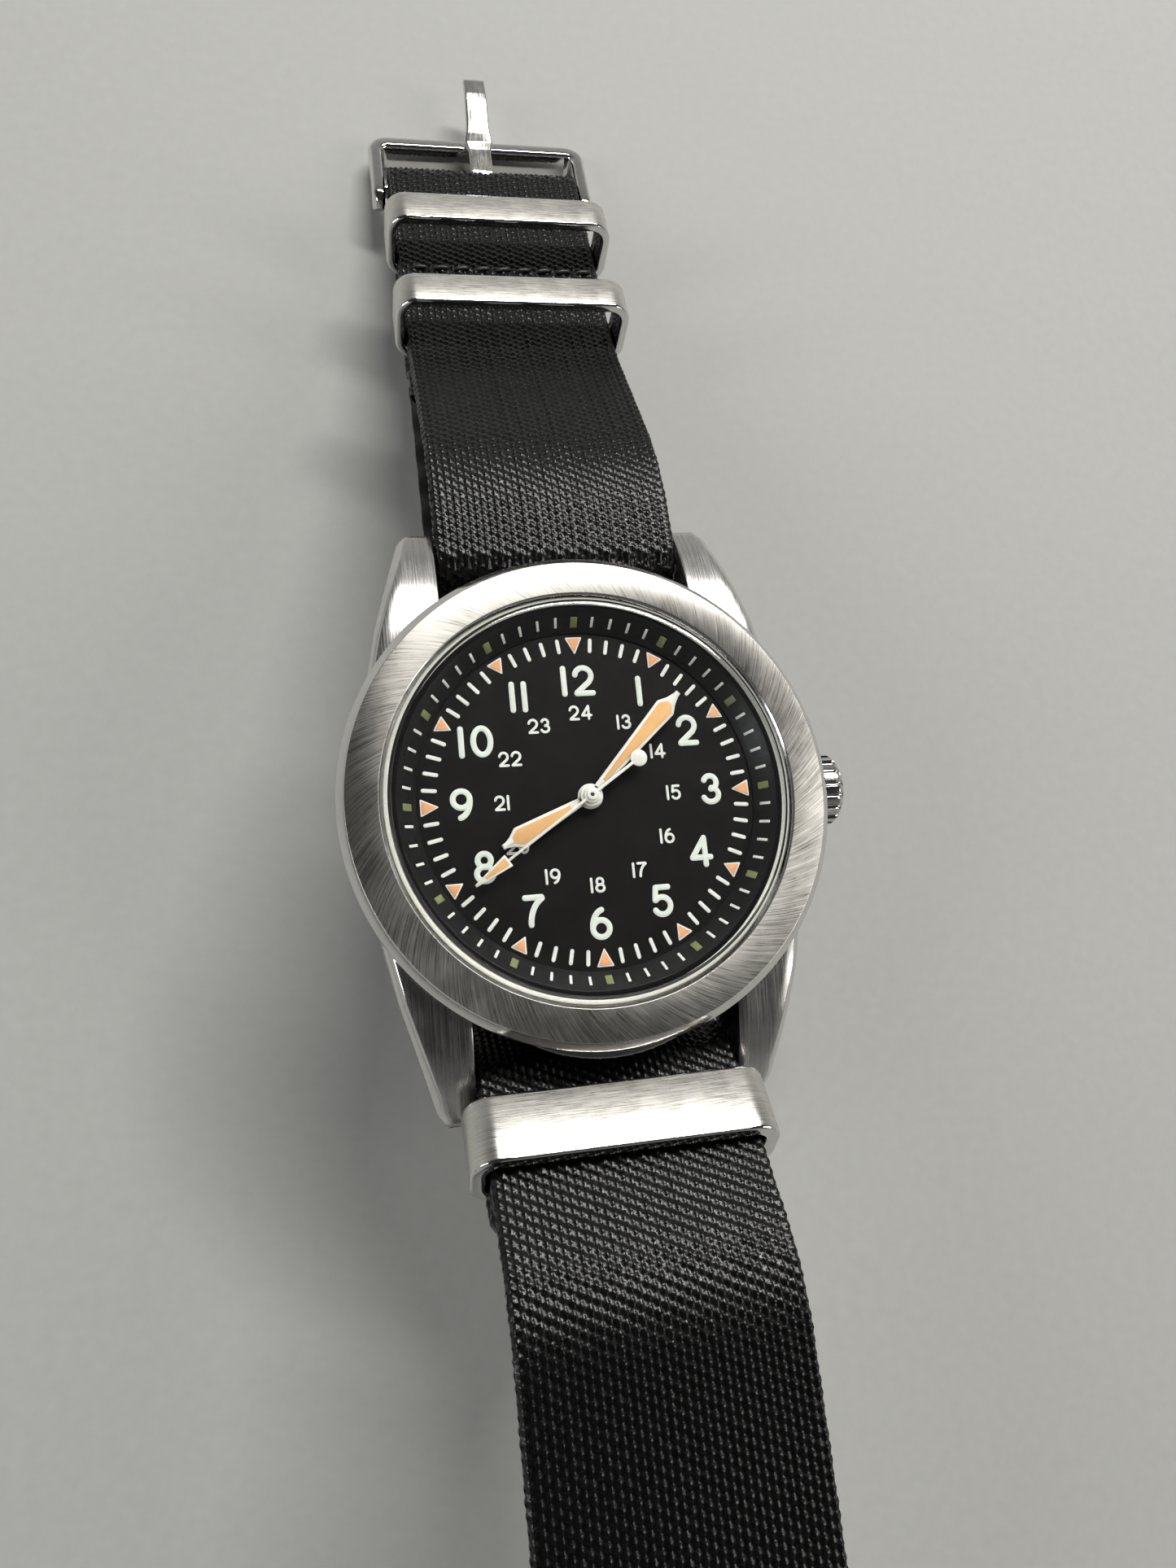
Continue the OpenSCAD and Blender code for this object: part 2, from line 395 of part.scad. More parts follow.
module seconds_hand() color([0.96, 0.95, 0.92]) head_frame() at_hand(second_dir) translate([0, 0, 1.1]) {
    difference() {
        linear_extrude(0.12) union() {
            circle(r = 0.62, $fn = 48);
            polygon([[-0.13, -4.8], [-0.11, second_len - 3.1], [-0.5, second_len - 2.6], [-0.09, second_len], [0.09, second_len], [0.5, second_len - 2.6], [0.11, second_len - 3.1], [0.13, -4.8]]);
            translate([0, -4.75]) circle(r = 0.66, $fn = 48);
        }
        translate([0, 0, -1]) cylinder(r = 0.15, h = 3, $fn = 24);
    }
    translate([0, 0, 0.2]) cylinder(r = 0.34, h = 0.1, $fn = 32);
    difference() { translate([0, 0, 0.1]) cylinder(r = 0.4, h = 0.12, $fn = 32); translate([0, 0, -1]) cylinder(r = 0.15, h = 1.2, $fn = 24); }
}

// ---- spring bars ----
module bar_at(m) mirror([0, m, 0]) translate([0, bar_y, bar_z]) children();
module bar_tube(m) color([0.66, 0.66, 0.67]) head_frame() bar_at(m) rotate([0, 90, 0]) difference() {
    translate([0, 0, -7.8]) cylinder(r = 0.75, h = 15.6, $fn = 40);
    translate([0, 0, -9]) cylinder(r = 0.52, h = 18, $fn = 40);
}
module bar_tip(m, k) color([0.62, 0.62, 0.64]) head_frame() bar_at(m) mirror([k, 0, 0]) rotate([0, 90, 0]) {
    translate([0, 0, 5]) cylinder(r = 0.46, h = 6.2, $fn = 32);
    translate([0, 0, 9.45]) cylinder(r = 0.68, h = 0.3, $fn = 32);
}
module bar_tube_12() bar_tube(0);
module bar_tube_6() bar_tube(1);
module bar_tip_12_right() bar_tip(0, 0);
module bar_tip_12_left() bar_tip(0, 1);
module bar_tip_6_right() bar_tip(1, 0);
module bar_tip_6_left() bar_tip(1, 1);

// ---- strap ----
function tail_at(s) = [tail_y + s, flat_z, 0];   // station s in from the tail's end, flat part
module strap_main() color([0.06, 0.06, 0.07]) head_frame() difference() {
    ribbon(main_pts, web_t, web_w);
    // slot for the tongue in the fold round the buckle bar
    buckle_frame_pos() translate([-1.6, -3.5, -2.8]) cube([3.2, 7.6, 6]);
    for (i = [0:4]) translate([0, tail_y + 26 + 6.5*i, flat_z - 2]) cylinder(d = hole_d, h = 4, $fn = 32);
    // rounded tail end
    translate([0, tail_y + web_w/2 - 0.02, flat_z - 2]) difference() {
        translate([-web_w, -web_w, 0]) cube([2*web_w, web_w, 4]);
        translate([0, 0, -1]) cylinder(r = web_w/2, h = 6, $fn = 96);
    }
}
module strap_short() color([0.06, 0.06, 0.07]) head_frame() ribbon(short_pts, web_t, web_w);
module ring_loop(w, inner_up, inner_dn, t, ro) rotate([90, 0, 0]) translate([0, (inner_up - inner_dn)/2, 0]) linear_extrude(w, center = true) difference() {
    rrect(2*(web_w/2 + 0.2 + t), inner_up + inner_dn + 2*t, ro);
    rrect(2*(web_w/2 + 0.2), inner_up + inner_dn, 0.5);
}
module on_strap(p) translate([0, p[0], p[1]]) rotate([p[2], 0, 0]) children();
keep_up = web_t/2 + 3.5;
keep_dn = web_t/2 + 0.32;
module keeper_ring_1() color([0.72, 0.72, 0.73]) head_frame() on_strap(back12(keep1_s)) ring_loop(keeper_w, keep_up, keep_dn, keeper_t, 2);
module keeper_ring_2() color([0.72, 0.72, 0.73]) head_frame() on_strap(back12(keep2_s)) ring_loop(keeper_w, keep_up, keep_dn, keeper_t, 2);
module slide_ring() color([0.72, 0.72, 0.73]) head_frame() mirror([0, 1, 0]) on_strap([slide_p[0], slide_p[1], out6]) ring_loop(slide_w, web_t/2 + 0.5, -low_n - ring_t/2, ring_t, 2.1);

// ---- buckle: local frame on the bar, +Y' outward along the strap ----
module buckle_frame_pos() translate([0, bar_c[0], bar_c[1]]) rotate([b12[2], 0, 0]) children();
module buckle_frame() color([0.74, 0.74, 0.75]) head_frame() buckle_frame_pos() difference() {
    intersection() {
        translate([0, buck_far - 4.8, -buck_h]) linear_extrude(2.9) difference() {
            rrect(2*buck_out, 9.6, 2);
            translate([0, -0.2]) rrect(2*buck_in, 6.4, 0.6);
            translate([-buck_in, -6]) square([2*buck_in, 5]);
        }
        // side profile, higher at the far rail
        rotate([90, 0, 90]) linear_extrude(40, center = true) polygon([[-2.4, -buck_h], [7.5, -buck_h], [7.5, 0.9], [6.6, 1.5], [4.6, 1.45], [0, 1.15], [-1.9, 1.0], [-2.4, 0.5]]);
    }
    // bar holes
    translate([-buck_in - 1.2, 0, 0]) rotate([0, 90, 0]) cylinder(r = 0.72, h = 2*buck_in + 2.4, $fn = 32);
    // tongue notch in the far rail
    translate([-1.75, 4.2, 1.3]) cube([3.5, 5, 2]);
}
module buckle_bar() color([0.7, 0.7, 0.7]) head_frame() buckle_frame_pos() rotate([0, 90, 0]) translate([0, 0, -buck_in - 1.15]) cylinder(r = 0.71, h = 2*buck_in + 2.3, $fn = 32);
tongue_t = 0.8;
tongue_pts = [[0.1, 1.12], [0.7, 1.2], [1.5, 1.55], [4.4, 2.05], [5.4, 2.3], [6.2, 2.75], [9.7, 4.35], [10.4, 4.55], [tongue_len, 4.75]];
module buckle_tongue() color([0.74, 0.74, 0.75]) head_frame() buckle_frame_pos() difference() {
    union() {
        rotate([0, 90, 0]) cylinder(r = 1.5, h = 2.4, center = true, $fn = 48);
        ribbon(tongue_pts, tongue_t, 2.4);
        // wider shoulder where it meets the far rail
        ribbon([[4.6, 2.1], [5.4, 2.3], [6.2, 2.75]], tongue_t, 3);
    }
    rotate([0, 90, 0]) cylinder(r = 0.78, h = 4, center = true, $fn = 32);
}

mid_case();
bezel();
crystal();
crystal_gasket();
chapter_ring();
dial();
movement_holder();
case_back();
back_gasket();
crown_tube();
crown();
crown_gasket();
winding_stem();
sliding_pinion();
winding_pinion();
main_plate();
train_bridge();
balance_cock();
plate_jewels();
bridge_screws();
mainspring_barrel();
center_wheel();
third_wheel();
fourth_wheel();
escape_wheel();
pallet_fork();
balance_wheel();
hairspring();
minute_wheel();
hour_wheel();
rotor_plate();
rotor_weight();
rotor_bearing();
hour_hand();
minute_hand();
seconds_hand();
bar_tube_12();
bar_tube_6();
bar_tip_12_right();
bar_tip_12_left();
bar_tip_6_right();
bar_tip_6_left();
strap_main();
strap_short();
keeper_ring_1();
keeper_ring_2();
slide_ring();
buckle_frame();
buckle_bar();
buckle_tongue();
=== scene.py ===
import json
import math

import bmesh
import bpy
import numpy as np
from mathutils import Matrix, Vector


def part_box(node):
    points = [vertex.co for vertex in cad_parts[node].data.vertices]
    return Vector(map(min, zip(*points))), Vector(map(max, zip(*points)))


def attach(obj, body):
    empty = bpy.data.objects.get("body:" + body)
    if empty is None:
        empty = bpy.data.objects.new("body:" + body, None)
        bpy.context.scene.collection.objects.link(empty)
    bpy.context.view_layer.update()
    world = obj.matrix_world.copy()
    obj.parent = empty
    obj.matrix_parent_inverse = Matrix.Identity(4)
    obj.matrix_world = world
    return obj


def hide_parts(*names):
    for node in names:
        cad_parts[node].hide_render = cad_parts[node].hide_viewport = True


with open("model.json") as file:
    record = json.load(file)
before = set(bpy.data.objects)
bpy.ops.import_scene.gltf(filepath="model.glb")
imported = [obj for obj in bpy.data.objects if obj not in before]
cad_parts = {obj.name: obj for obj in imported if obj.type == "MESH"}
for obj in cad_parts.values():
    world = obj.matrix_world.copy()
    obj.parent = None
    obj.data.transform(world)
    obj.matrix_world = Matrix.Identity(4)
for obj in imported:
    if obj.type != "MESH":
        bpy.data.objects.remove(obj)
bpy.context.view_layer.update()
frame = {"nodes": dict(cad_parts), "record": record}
NODES = frame["nodes"]
MM = 0.001
_lo, _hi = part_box("dial")
OX, OY, OZ = (_lo.x + _hi.x) / 2, (_lo.y + _hi.y) / 2, _hi.z  # head frame: hand axis, dial face
D = math.radians
rng = np.random.default_rng(7)

# ------------------------------------------------------------------ mesh helpers (head frame, mm)


def sin(a):
    return math.sin(D(a))


def cos(a):
    return math.cos(D(a))


def grid(pts, cu=False, cv=False, us=None, vs=None):
    """Quads over an (m, n, 3) array, closed in u and v when asked, with a UV per corner."""
    m, n = pts.shape[:2]
    i, j = np.meshgrid(np.arange(m if cu else m - 1), np.arange(n if cv else n - 1), indexing="ij")
    i2, j2 = (i + 1) % m, (j + 1) % n
    q = np.stack([i * n + j, i2 * n + j, i2 * n + j2, i * n + j2], -1).reshape(-1, 4)
    us = np.arange(m + 1, dtype=float) if us is None else np.asarray(us, float)
    vs = np.arange(n + 1, dtype=float) if vs is None else np.asarray(vs, float)
    uv = np.stack(
        [np.stack([us[i], vs[j]], -1), np.stack([us[i + 1], vs[j]], -1), np.stack([us[i + 1], vs[j + 1]], -1), np.stack([us[i], vs[j + 1]], -1)], 2
    ).reshape(-1, 2)
    return pts.reshape(-1, 3), q.tolist(), uv


class Parts:
    """Collects pieces of one mesh."""

    def __init__(self):
        self.v, self.f, self.uv, self.m, self.n = [], [], [], [], 0

    def add(self, v, f, uv=None, mat=0):
        v = np.asarray(v, float).reshape(-1, 3)
        self.v.append(v)
        if uv is None:
            flat = [k for face in f for k in face]
            uv = v[flat][:, :2]
        self.f += [[k + self.n for k in face] for face in f]
        self.uv.append(np.asarray(uv, float).reshape(-1, 2))
        self.m += [mat] * len(f)
        self.n += len(v)
        return self


def make(name, parts, mats, body, replaces=(), angle=34, merge=False, fix=True):
    v = np.concatenate(parts.v) * MM + np.array([OX, OY, OZ])
    me = bpy.data.meshes.new(name)
    me.from_pydata(v.tolist(), [], parts.f)
    uvl = me.uv_layers.new(name="UVMap")
    uvl.data.foreach_set("uv", np.concatenate(parts.uv).astype(np.float32).ravel())
    mats = mats if isinstance(mats, (list, tuple)) else [mats]
    for m in mats:
        me.materials.append(m)
    me.polygons.foreach_set("material_index", np.array(parts.m, np.int32))
    if merge or fix:
        bm = bmesh.new()
        bm.from_mesh(me)
        if merge:
            bmesh.ops.remove_doubles(bm, verts=bm.verts, dist=2e-7)
        if fix:
            bmesh.ops.recalc_face_normals(bm, faces=bm.faces)
        bm.to_mesh(me)
        bm.free()
    me.shade_smooth()
    me.set_sharp_from_angle(angle=D(angle))
    me.validate()
    ob = bpy.data.objects.new(name, me)
    bpy.context.scene.collection.objects.link(ob)
    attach(ob, body)
    if replaces:
        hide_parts(*replaces)
    return ob


def fillet(P, r, closed=True, n=4):
    """Rounds the corners of a 2D outline with radius r (a number or one per corner)."""
    P = [np.array(p, float) for p in P]
    r = [r] * len(P) if isinstance(r, (int, float)) else list(r)
    out = []
    for i, p in enumerate(P):
        if not closed and i in (0, len(P) - 1):
            out.append(p)
            continue
        a, b = P[i - 1] - p, P[(i + 1) % len(P)] - p
        la, lb = np.hypot(*a), np.hypot(*b)
        a, b = a / la, b / lb
        c = max(-1.0, min(1.0, float(a @ b)))
        half = math.acos(c) / 2
        if r[i] <= 0 or half > D(88):
            out.append(p)
            continue
        t = min(r[i] / math.tan(half), la * 0.48, lb * 0.48)
        rr = t * math.tan(half)
        m = (a + b) / np.hypot(*(a + b))
        ctr = p + m * rr / math.sin(half)
        s, e = p + a * t - ctr, p + b * t - ctr
        a0 = math.atan2(s[1], s[0])
        da = (math.atan2(e[1], e[0]) - a0 + math.pi) % (2 * math.pi) - math.pi
        out += [ctr + rr * np.array([math.cos(a0 + da * k / n), math.sin(a0 + da * k / n)]) for k in range(n + 1)]
    return np.array(out)


def offset(P, d):
    """Moves a closed counter-clockwise outline inwards by d."""
    P = np.asarray(P, float)
    a = P - np.roll(P, 1, 0)
    b = np.roll(P, -1, 0) - P
    a /= np.hypot(a[:, 0], a[:, 1])[:, None]
    b /= np.hypot(b[:, 0], b[:, 1])[:, None]
    na, nb = np.stack([-a[:, 1], a[:, 0]], 1), np.stack([-b[:, 1], b[:, 0]], 1)
    m = na + nb
    k = np.maximum((m * na).sum(1), 0.5)
    return P + d * m / k[:, None]


def ccw(P):
    P = np.asarray(P, float)
    x, y = P[:, 0], P[:, 1]
    return P if (x * np.roll(y, -1) - y * np.roll(x, -1)).sum() > 0 else P[::-1]


def plate(parts, P, z0, t, bevel, place=None, mat=0):
    """A flat piece with a bevelled top edge. place maps (n, 3) points to the head frame."""
    P = ccw(P)
    n = len(P)
    rings = [(P, z0), (P, z0 + t - bevel), (offset(P, bevel * 0.4), z0 + t - bevel * 0.3), (offset(P, bevel), z0 + t)]
    v = np.concatenate([np.column_stack([q, np.full(n, z)]) for q, z in rings])
    f = [[k * n + i, k * n + (i + 1) % n, (k + 1) * n + (i + 1) % n, (k + 1) * n + i] for k in range(3) for i in range(n)]
    f.append([3 * n + i for i in range(n)])
    f.append([n - 1 - i for i in range(n)])
    flat = [k for face in f for k in face]
    uv = v[flat][:, :2].copy()
    if place is not None:
        v = place(v)
    parts.add(v, f, uv, mat)


def stroke(parts, path, w, z0, t, place=None, mat=0, bevel=0.05):
    """A flat printed line with round ends along a 2D path."""
    path = np.asarray(path, float)
    closed = np.hypot(*(path[0] - path[-1])) < 1e-6
    if closed:
        path = path[:-1]
    d = (np.roll(path, -1, 0) - np.roll(path, 1, 0)) if closed else np.gradient(path, axis=0)
    d /= np.hypot(d[:, 0], d[:, 1])[:, None]
    nrm = np.stack([-d[:, 1], d[:, 0]], 1)
    sec = [(-w / 2, 0), (-w / 2, t - bevel), (-w / 2 + bevel * 0.35, t - bevel * 0.25), (-w / 2 + bevel, t), (0, t), (w / 2 - bevel, t), (w / 2 - bevel * 0.35, t - bevel * 0.25), (w / 2, t - bevel), (w / 2, 0)]
    pts = np.array([[(p[0] + m[0] * a, p[1] + m[1] * a, z0 + z) for a, z in sec] for p, m in zip(path, nrm)])
    v, f, uv = grid(pts, cu=closed)
    if place is not None:
        v = place(v)
    parts.add(v, f, uv, mat)
    if closed:
        return
    half = sec[4:]
    for p, m, dr in ((path[0], nrm[0], -1), (path[-1], nrm[-1], 1)):
        a0 = math.atan2(m[1], m[0])
        pts = np.array([[(p[0] + math.cos(a0 - dr * math.pi * k / 8) * a, p[1] + math.sin(a0 - dr * math.pi * k / 8) * a, z0 + z) for a, z in half] for k in range(9)])
        v, f, uv = grid(pts)
        if place is not None:
            v = place(v)
        parts.add(v, f, uv, mat)


def lathe(parts, prof, seg=256, closed=True, mat=0, a0=-math.pi, place=None, ru=None):
    """Turns a (r, z) profile about the hand axis; U is the way round and V the way along the profile, in mm."""
    prof = np.asarray(prof, float)
    th = a0 + np.arange(seg) * 2 * math.pi / seg
    # clockwise from 12 seen from above
    pts = np.stack([np.sin(th)[:, None] * prof[None, :, 0], np.cos(th)[:, None] * prof[None, :, 0], np.broadcast_to(prof[None, :, 1], (seg, len(prof)))], -1)
    ru = ru or float(prof[:, 0].max())
    q = np.concatenate([prof, prof[:1]])
    vs = np.concatenate([[0], np.cumsum(np.hypot(*np.diff(q, axis=0).T))])
    v, f, uv = grid(pts, True, closed, np.arange(seg + 1) * 2 * math.pi / seg * ru, vs)
    if place is not None:
        v = place(v)
    parts.add(v, f, uv, mat)


def along_x(x, y, z):
    """Turns an axis along +Z into one along +X from (x, y, z)."""
    return lambda v: np.stack([v[:, 2] + x, v[:, 0] + y, v[:, 1] + z], 1)


def sweep(parts, path, nrm, sec, closed=True, mat=0, place=None, caps=True, width=None):
    """Sweeps a section (along the normal, along the third axis) on a planar path; gives (a, b, c) points with c the third axis."""
    path, nrm = np.asarray(path, float), np.asarray(nrm, float)
    sec = np.asarray(sec, float)
    m = len(path)
    w = np.ones((m, len(sec), 2)) if width is None else width
    pts = np.stack(
        [path[:, None, 0] + nrm[:, None, 0] * sec[None, :, 0] * w[:, :, 0], path[:, None, 1] + nrm[:, None, 1] * sec[None, :, 0] * w[:, :, 0], np.broadcast_to(sec[None, :, 1], (m, len(sec))) * w[:, :, 1]], -1
    )
    q = np.concatenate([path, path[:1]])
    us = np.concatenate([[0], np.cumsum(np.hypot(*np.diff(q, axis=0).T))])
    q = np.concatenate([sec, sec[:1]])
    vs = np.concatenate([[0], np.cumsum(np.hypot(*np.diff(q, axis=0).T))])
    v, f, uv = grid(pts, closed, True, us, vs)
    if not closed and caps:
        n = len(sec)
        f = f + [[i for i in range(n)][::-1], [(m - 1) * n + i for i in range(n)]]
        uv = np.concatenate([uv, sec[::-1], sec])
    if place is not None:
        v = place(v)
    parts.add(v, f, uv, mat)


# ------------------------------------------------------------------ materials


class Mat:
    def __init__(self, name):
        self.m = bpy.data.materials.new(name)
        self.m.use_nodes = True
        self.nt = self.m.node_tree
        self.p = self.nt.nodes["Principled BSDF"]

    def node(self, kind, **kw):
        n = self.nt.nodes.new(kind)
        for k, v in kw.items():
            if k.startswith("i_"):
                key = k[2:]
                n.inputs[int(key) if key.isdigit() else key.replace("_", " ")].default_value = v
            else:
                setattr(n, k, v)
        return n

    def link(self, a, b):
        self.nt.links.new(a, b)

    def set(self, **kw):
        for k, v in kw.items():
            self.p.inputs[k.replace("_", " ")].default_value = v
        return self

    def coords(self, uv=True, scale=(1, 1, 1), rot=(0, 0, 0)):
        """UV in mm, or the object's own place in mm."""
        if uv:
            c = self.node("ShaderNodeUVMap", uv_map="UVMap").outputs[0]
        else:
            t = self.node("ShaderNodeTexCoord").outputs["Object"]
            s = self.node("ShaderNodeVectorMath", operation="SCALE")
            s.inputs["Scale"].default_value = 1000.0
            self.link(t, s.inputs[0])
            c = s.outputs[0]
        # turn first, then stretch
        r = self.node("ShaderNodeMapping")
        r.inputs["Rotation"].default_value = rot
        self.link(c, r.inputs[0])
        m = self.node("ShaderNodeMapping")
        m.inputs["Scale"].default_value = scale
        self.link(r.outputs[0], m.inputs[0])
        return m.outputs[0]

    def noise(self, vec, scale=1.0, detail=3.0, rough=0.6):
        n = self.node("ShaderNodeTexNoise")
        n.inputs["Scale"].default_value = scale
        n.inputs["Detail"].default_value = detail
        n.inputs["Roughness"].default_value = rough
        self.link(vec, n.inputs["Vector"])
        return n.outputs["Fac"]

    def ramp(self, fac, stops):
        r = self.node("ShaderNodeValToRGB")
        e = r.color_ramp.elements
        e[0].position, e[0].color = stops[0][0], (*stops[0][1], 1)
        e[1].position, e[1].color = stops[-1][0], (*stops[-1][1], 1)
        for pos, c in stops[1:-1]:
            x = e.new(pos)
            x.color = (*c, 1)
        self.link(fac, r.inputs[0])
        return r.outputs["Color"]

    def remap(self, fac, a, b, lo=0.3, hi=0.7):
        r = self.node("ShaderNodeMapRange")
        r.inputs["From Min"].default_value, r.inputs["From Max"].default_value = lo, hi
        r.inputs["To Min"].default_value, r.inputs["To Max"].default_value = a, b
        self.link(fac, r.inputs["Value"])
        return r.outputs[0]

    def bump(self, height, strength, dist_mm, normal=None):
        b = self.node("ShaderNodeBump")
        b.inputs["Strength"].default_value = strength
        b.inputs["Distance"].default_value = dist_mm * MM
        self.link(height, b.inputs["Height"])
        if normal is not None:
            self.link(normal, b.inputs["Normal"])
        return b.outputs["Normal"]

    def out(self, socket, value):
        self.link(value, self.p.inputs[socket])


def brushed(name, tint=(0.66, 0.64, 0.61), uv=True, turn=0.0, fine=14.0, length=0.35, rough=(0.22, 0.4), depth=0.012, bevel=0.0, aniso=0.0, turn_axis=2):
    """Steel with brushing lines along X of the turned coordinates, each a fraction of a mm apart."""
    a = Mat(name)
    a.set(Metallic=1.0)
    rot = [0, 0, 0]
    rot[turn_axis] = D(-turn if not uv else turn)
    c = a.coords(uv, (length, fine, fine), rot)
    lines = a.noise(c, 1.0, 4.0, 0.7)
    c2 = a.coords(uv, (length * 0.25, fine * 0.33, fine * 0.33), rot)
    wide = a.noise(c2, 1.0, 2.0, 0.5)
    c3 = a.coords(uv, (0.35, 0.35, 0.35))
    cloud = a.noise(c3, 1.0, 3.0, 0.6)
    col = a.ramp(lines, [(0.3, tuple(x * 0.8 for x in tint)), (0.5, tint), (0.72, tuple(min(1, x * 1.2) for x in tint))])
    a.out("Base Color", col)
    mix = a.node("ShaderNodeMath", operation="ADD")
    a.link(a.remap(lines, rough[0] - 0.07, rough[0] + 0.1), mix.inputs[0])
    a.link(a.remap(cloud, -0.02, (rough[1] - rough[0]) * 0.5, 0.35, 0.75), mix.inputs[1])
    a.out("Roughness", mix.outputs[0])
    base = None
    if bevel:
        b = a.node("ShaderNodeBevel", samples=4)
        b.inputs["Radius"].default_value = bevel * MM
        base = b.outputs[0]
    n = a.bump(wide, 0.5, depth * 1.2, base)
    n = a.bump(lines, 0.9, depth, n)
    a.out("Normal", n)
    if aniso:
        a.set(Anisotropic=aniso)
        t = a.node("ShaderNodeTangent", direction_type="UV_MAP" if uv else "RADIAL")
        if uv:
            t.uv_map = "UVMap"
        a.out("Tangent", t.outputs[0])
        a.p.inputs["Anisotropic Rotation"].default_value = ((turn + 90.0) / 360.0) % 1.0
    return a.m


def polished(name, tint=(0.74, 0.73, 0.71), uv=True, rough=0.09, bevel=0.0, scratch=0.35):
    a = Mat(name)
    a.set(Metallic=1.0)
    c = a.coords(uv, (1, 1, 1))
    cloud = a.noise(c, 1.3, 4.0, 0.65)
    a.out("Base Color", a.ramp(cloud, [(0.3, tuple(x * 0.9 for x in tint)), (0.7, tint)]))
    cs = a.coords(uv, (0.6, 9, 9), (0, 0, D(28)))
    s = a.noise(cs, 1.0, 5.0, 0.8)
    add = a.node("ShaderNodeMath", operation="ADD")
    a.link(a.remap(cloud, rough * 0.6, rough * 1.5), add.inputs[0])
    a.link(a.remap(s, 0.0, scratch * 0.3, 0.58, 0.8), add.inputs[1])
    a.out("Roughness", add.outputs[0])
    base = None
    if bevel:
        b = a.node("ShaderNodeBevel", samples=4)
        b.inputs["Radius"].default_value = bevel * MM
        base = b.outputs[0]
    a.out("Normal", a.bump(s, 0.15, 0.003, base))
    return a.m


def paint(name, col, rough=0.5, grain=0.01, var=0.08, uv=False, scale=6.0, spec=0.5, sheen=0.0):
    a = Mat(name)
    a.set(Specular_IOR_Level=spec)
    c = a.coords(uv)
    n1 = a.noise(c, scale, 4.0, 0.65)
    n2 = a.noise(c, 0.6, 3.0, 0.5)
    mul = a.node("ShaderNodeMath", operation="MULTIPLY_ADD")
    a.link(n1, mul.inputs[0])
    mul.inputs[1].default_value = 0.6
    a.link(n2, mul.inputs[2])
    a.out("Base Color", a.ramp(mul.outputs[0], [(0.45, tuple(x * (1 - var) for x in col)), (1.1, tuple(min(1, x * (1 + var)) for x in col))]))
    a.out("Roughness", a.remap(n1, rough - 0.08, rough + 0.08))
    a.out("Normal", a.bump(n1, 0.5, grain))
    return a.m


M = {}
M["bezel"] = brushed("bezel_brushed", (0.62, 0.60, 0.56), True, -50, 11, 0.22, (0.3, 0.4), 0.0035, aniso=0.7)
M["ring_top"] = brushed("ring_brushed", (0.68, 0.66, 0.62), True, 0, 12, 0.35, (0.27, 0.38), 0.003, aniso=0.5)
M["edge"] = polished("steel_polished_edge", rough=0.1)
M["polish"] = polished("steel_polished", rough=0.09)
M["case"] = brushed("case_brushed", (0.58, 0.57, 0.55), False, 90, 9, 0.2, (0.22, 0.34), 0.0022, bevel=0.18)
M["lug"] = brushed("lug_brushed", (0.56, 0.55, 0.53), True, 0, 9, 0.16, (0.25, 0.33), 0.0012)
M["lug_edge"] = polished("lug_polished_edge", (0.72, 0.71, 0.69), True, 0.12)
M["crown"] = polished("crown_polished", (0.62, 0.61, 0.59), True, 0.12)
M["tongue"] = brushed("tongue_satin", (0.66, 0.65, 0.62), True, 0, 12, 0.4, (0.18, 0.3), 0.002)
M["dial"] = paint("dial_matte", (0.004, 0.0037, 0.0035), 0.46, 0.006, 0.35, False, 9.0, 0.07)
M["flange"] = paint("flange_satin", (0.006, 0.006, 0.006), 0.34, 0.003, 0.2, False, 5.0, 0.22)
M["white"] = paint("print_white", (0.54, 0.55, 0.52), 0.55, 0.006, 0.04, False, 8.0, 0.4)
M["lume_w"] = paint("print_lume_white", (0.50, 0.54, 0.49), 0.7, 0.012, 0.05, False, 12.0, 0.3)
M["hand"] = paint("hand_lacquer", (0.54, 0.53, 0.49), 0.32, 0.003, 0.03, False, 4.0, 0.5)
M["lume_p"] = paint("lume_peach", (0.52, 0.30, 0.125), 0.75, 0.015, 0.07, False, 12.0, 0.3)
M["salmon"] = paint("print_salmon", (0.56, 0.27, 0.125), 0.7, 0.014, 0.1, False, 10.0, 0.3)
M["tick"] = paint("print_grey", (0.5, 0.51, 0.48), 0.6, 0.006, 0.06, False, 8.0, 0.35)
M["olive"] = paint("print_olive", (0.13, 0.15, 0.065), 0.65, 0.01, 0.12, False, 8.0, 0.3)
M["dark"] = paint("arbor_dark", (0.02, 0.02, 0.02), 0.35, 0.003, 0.1)
M["clear"] = paint("gasket_nylon", (0.62, 0.62, 0.56), 0.25, 0.002, 0.06)
M["rubber"] = paint("rubber_black", (0.02, 0.02, 0.02), 0.7, 0.01, 0.2)
M["holder"] = paint("holder_plastic", (0.55, 0.55, 0.50), 0.5, 0.01, 0.06)
M["plate"] = brushed("movement_plate", (0.62, 0.6, 0.54), False, 0, 3, 0.3, (0.2, 0.32), 0.0025)
M["works"] = brushed("movement_steel", (0.55, 0.55, 0.56), False, 0, 9, 1.0, (0.2, 0.3), 0.0012)
M["brass"] = brushed("wheel_gilt", (0.78, 0.58, 0.26), False, 0, 6, 1.0, (0.2, 0.32), 0.0014)
M["jewel"] = paint("jewel_red", (0.5, 0.01, 0.06), 0.12, 0.001, 0.1)
M["blue"] = brushed("blued_steel", (0.05, 0.09, 0.35), False, 0, 8, 1.0, (0.16, 0.24), 0.002)


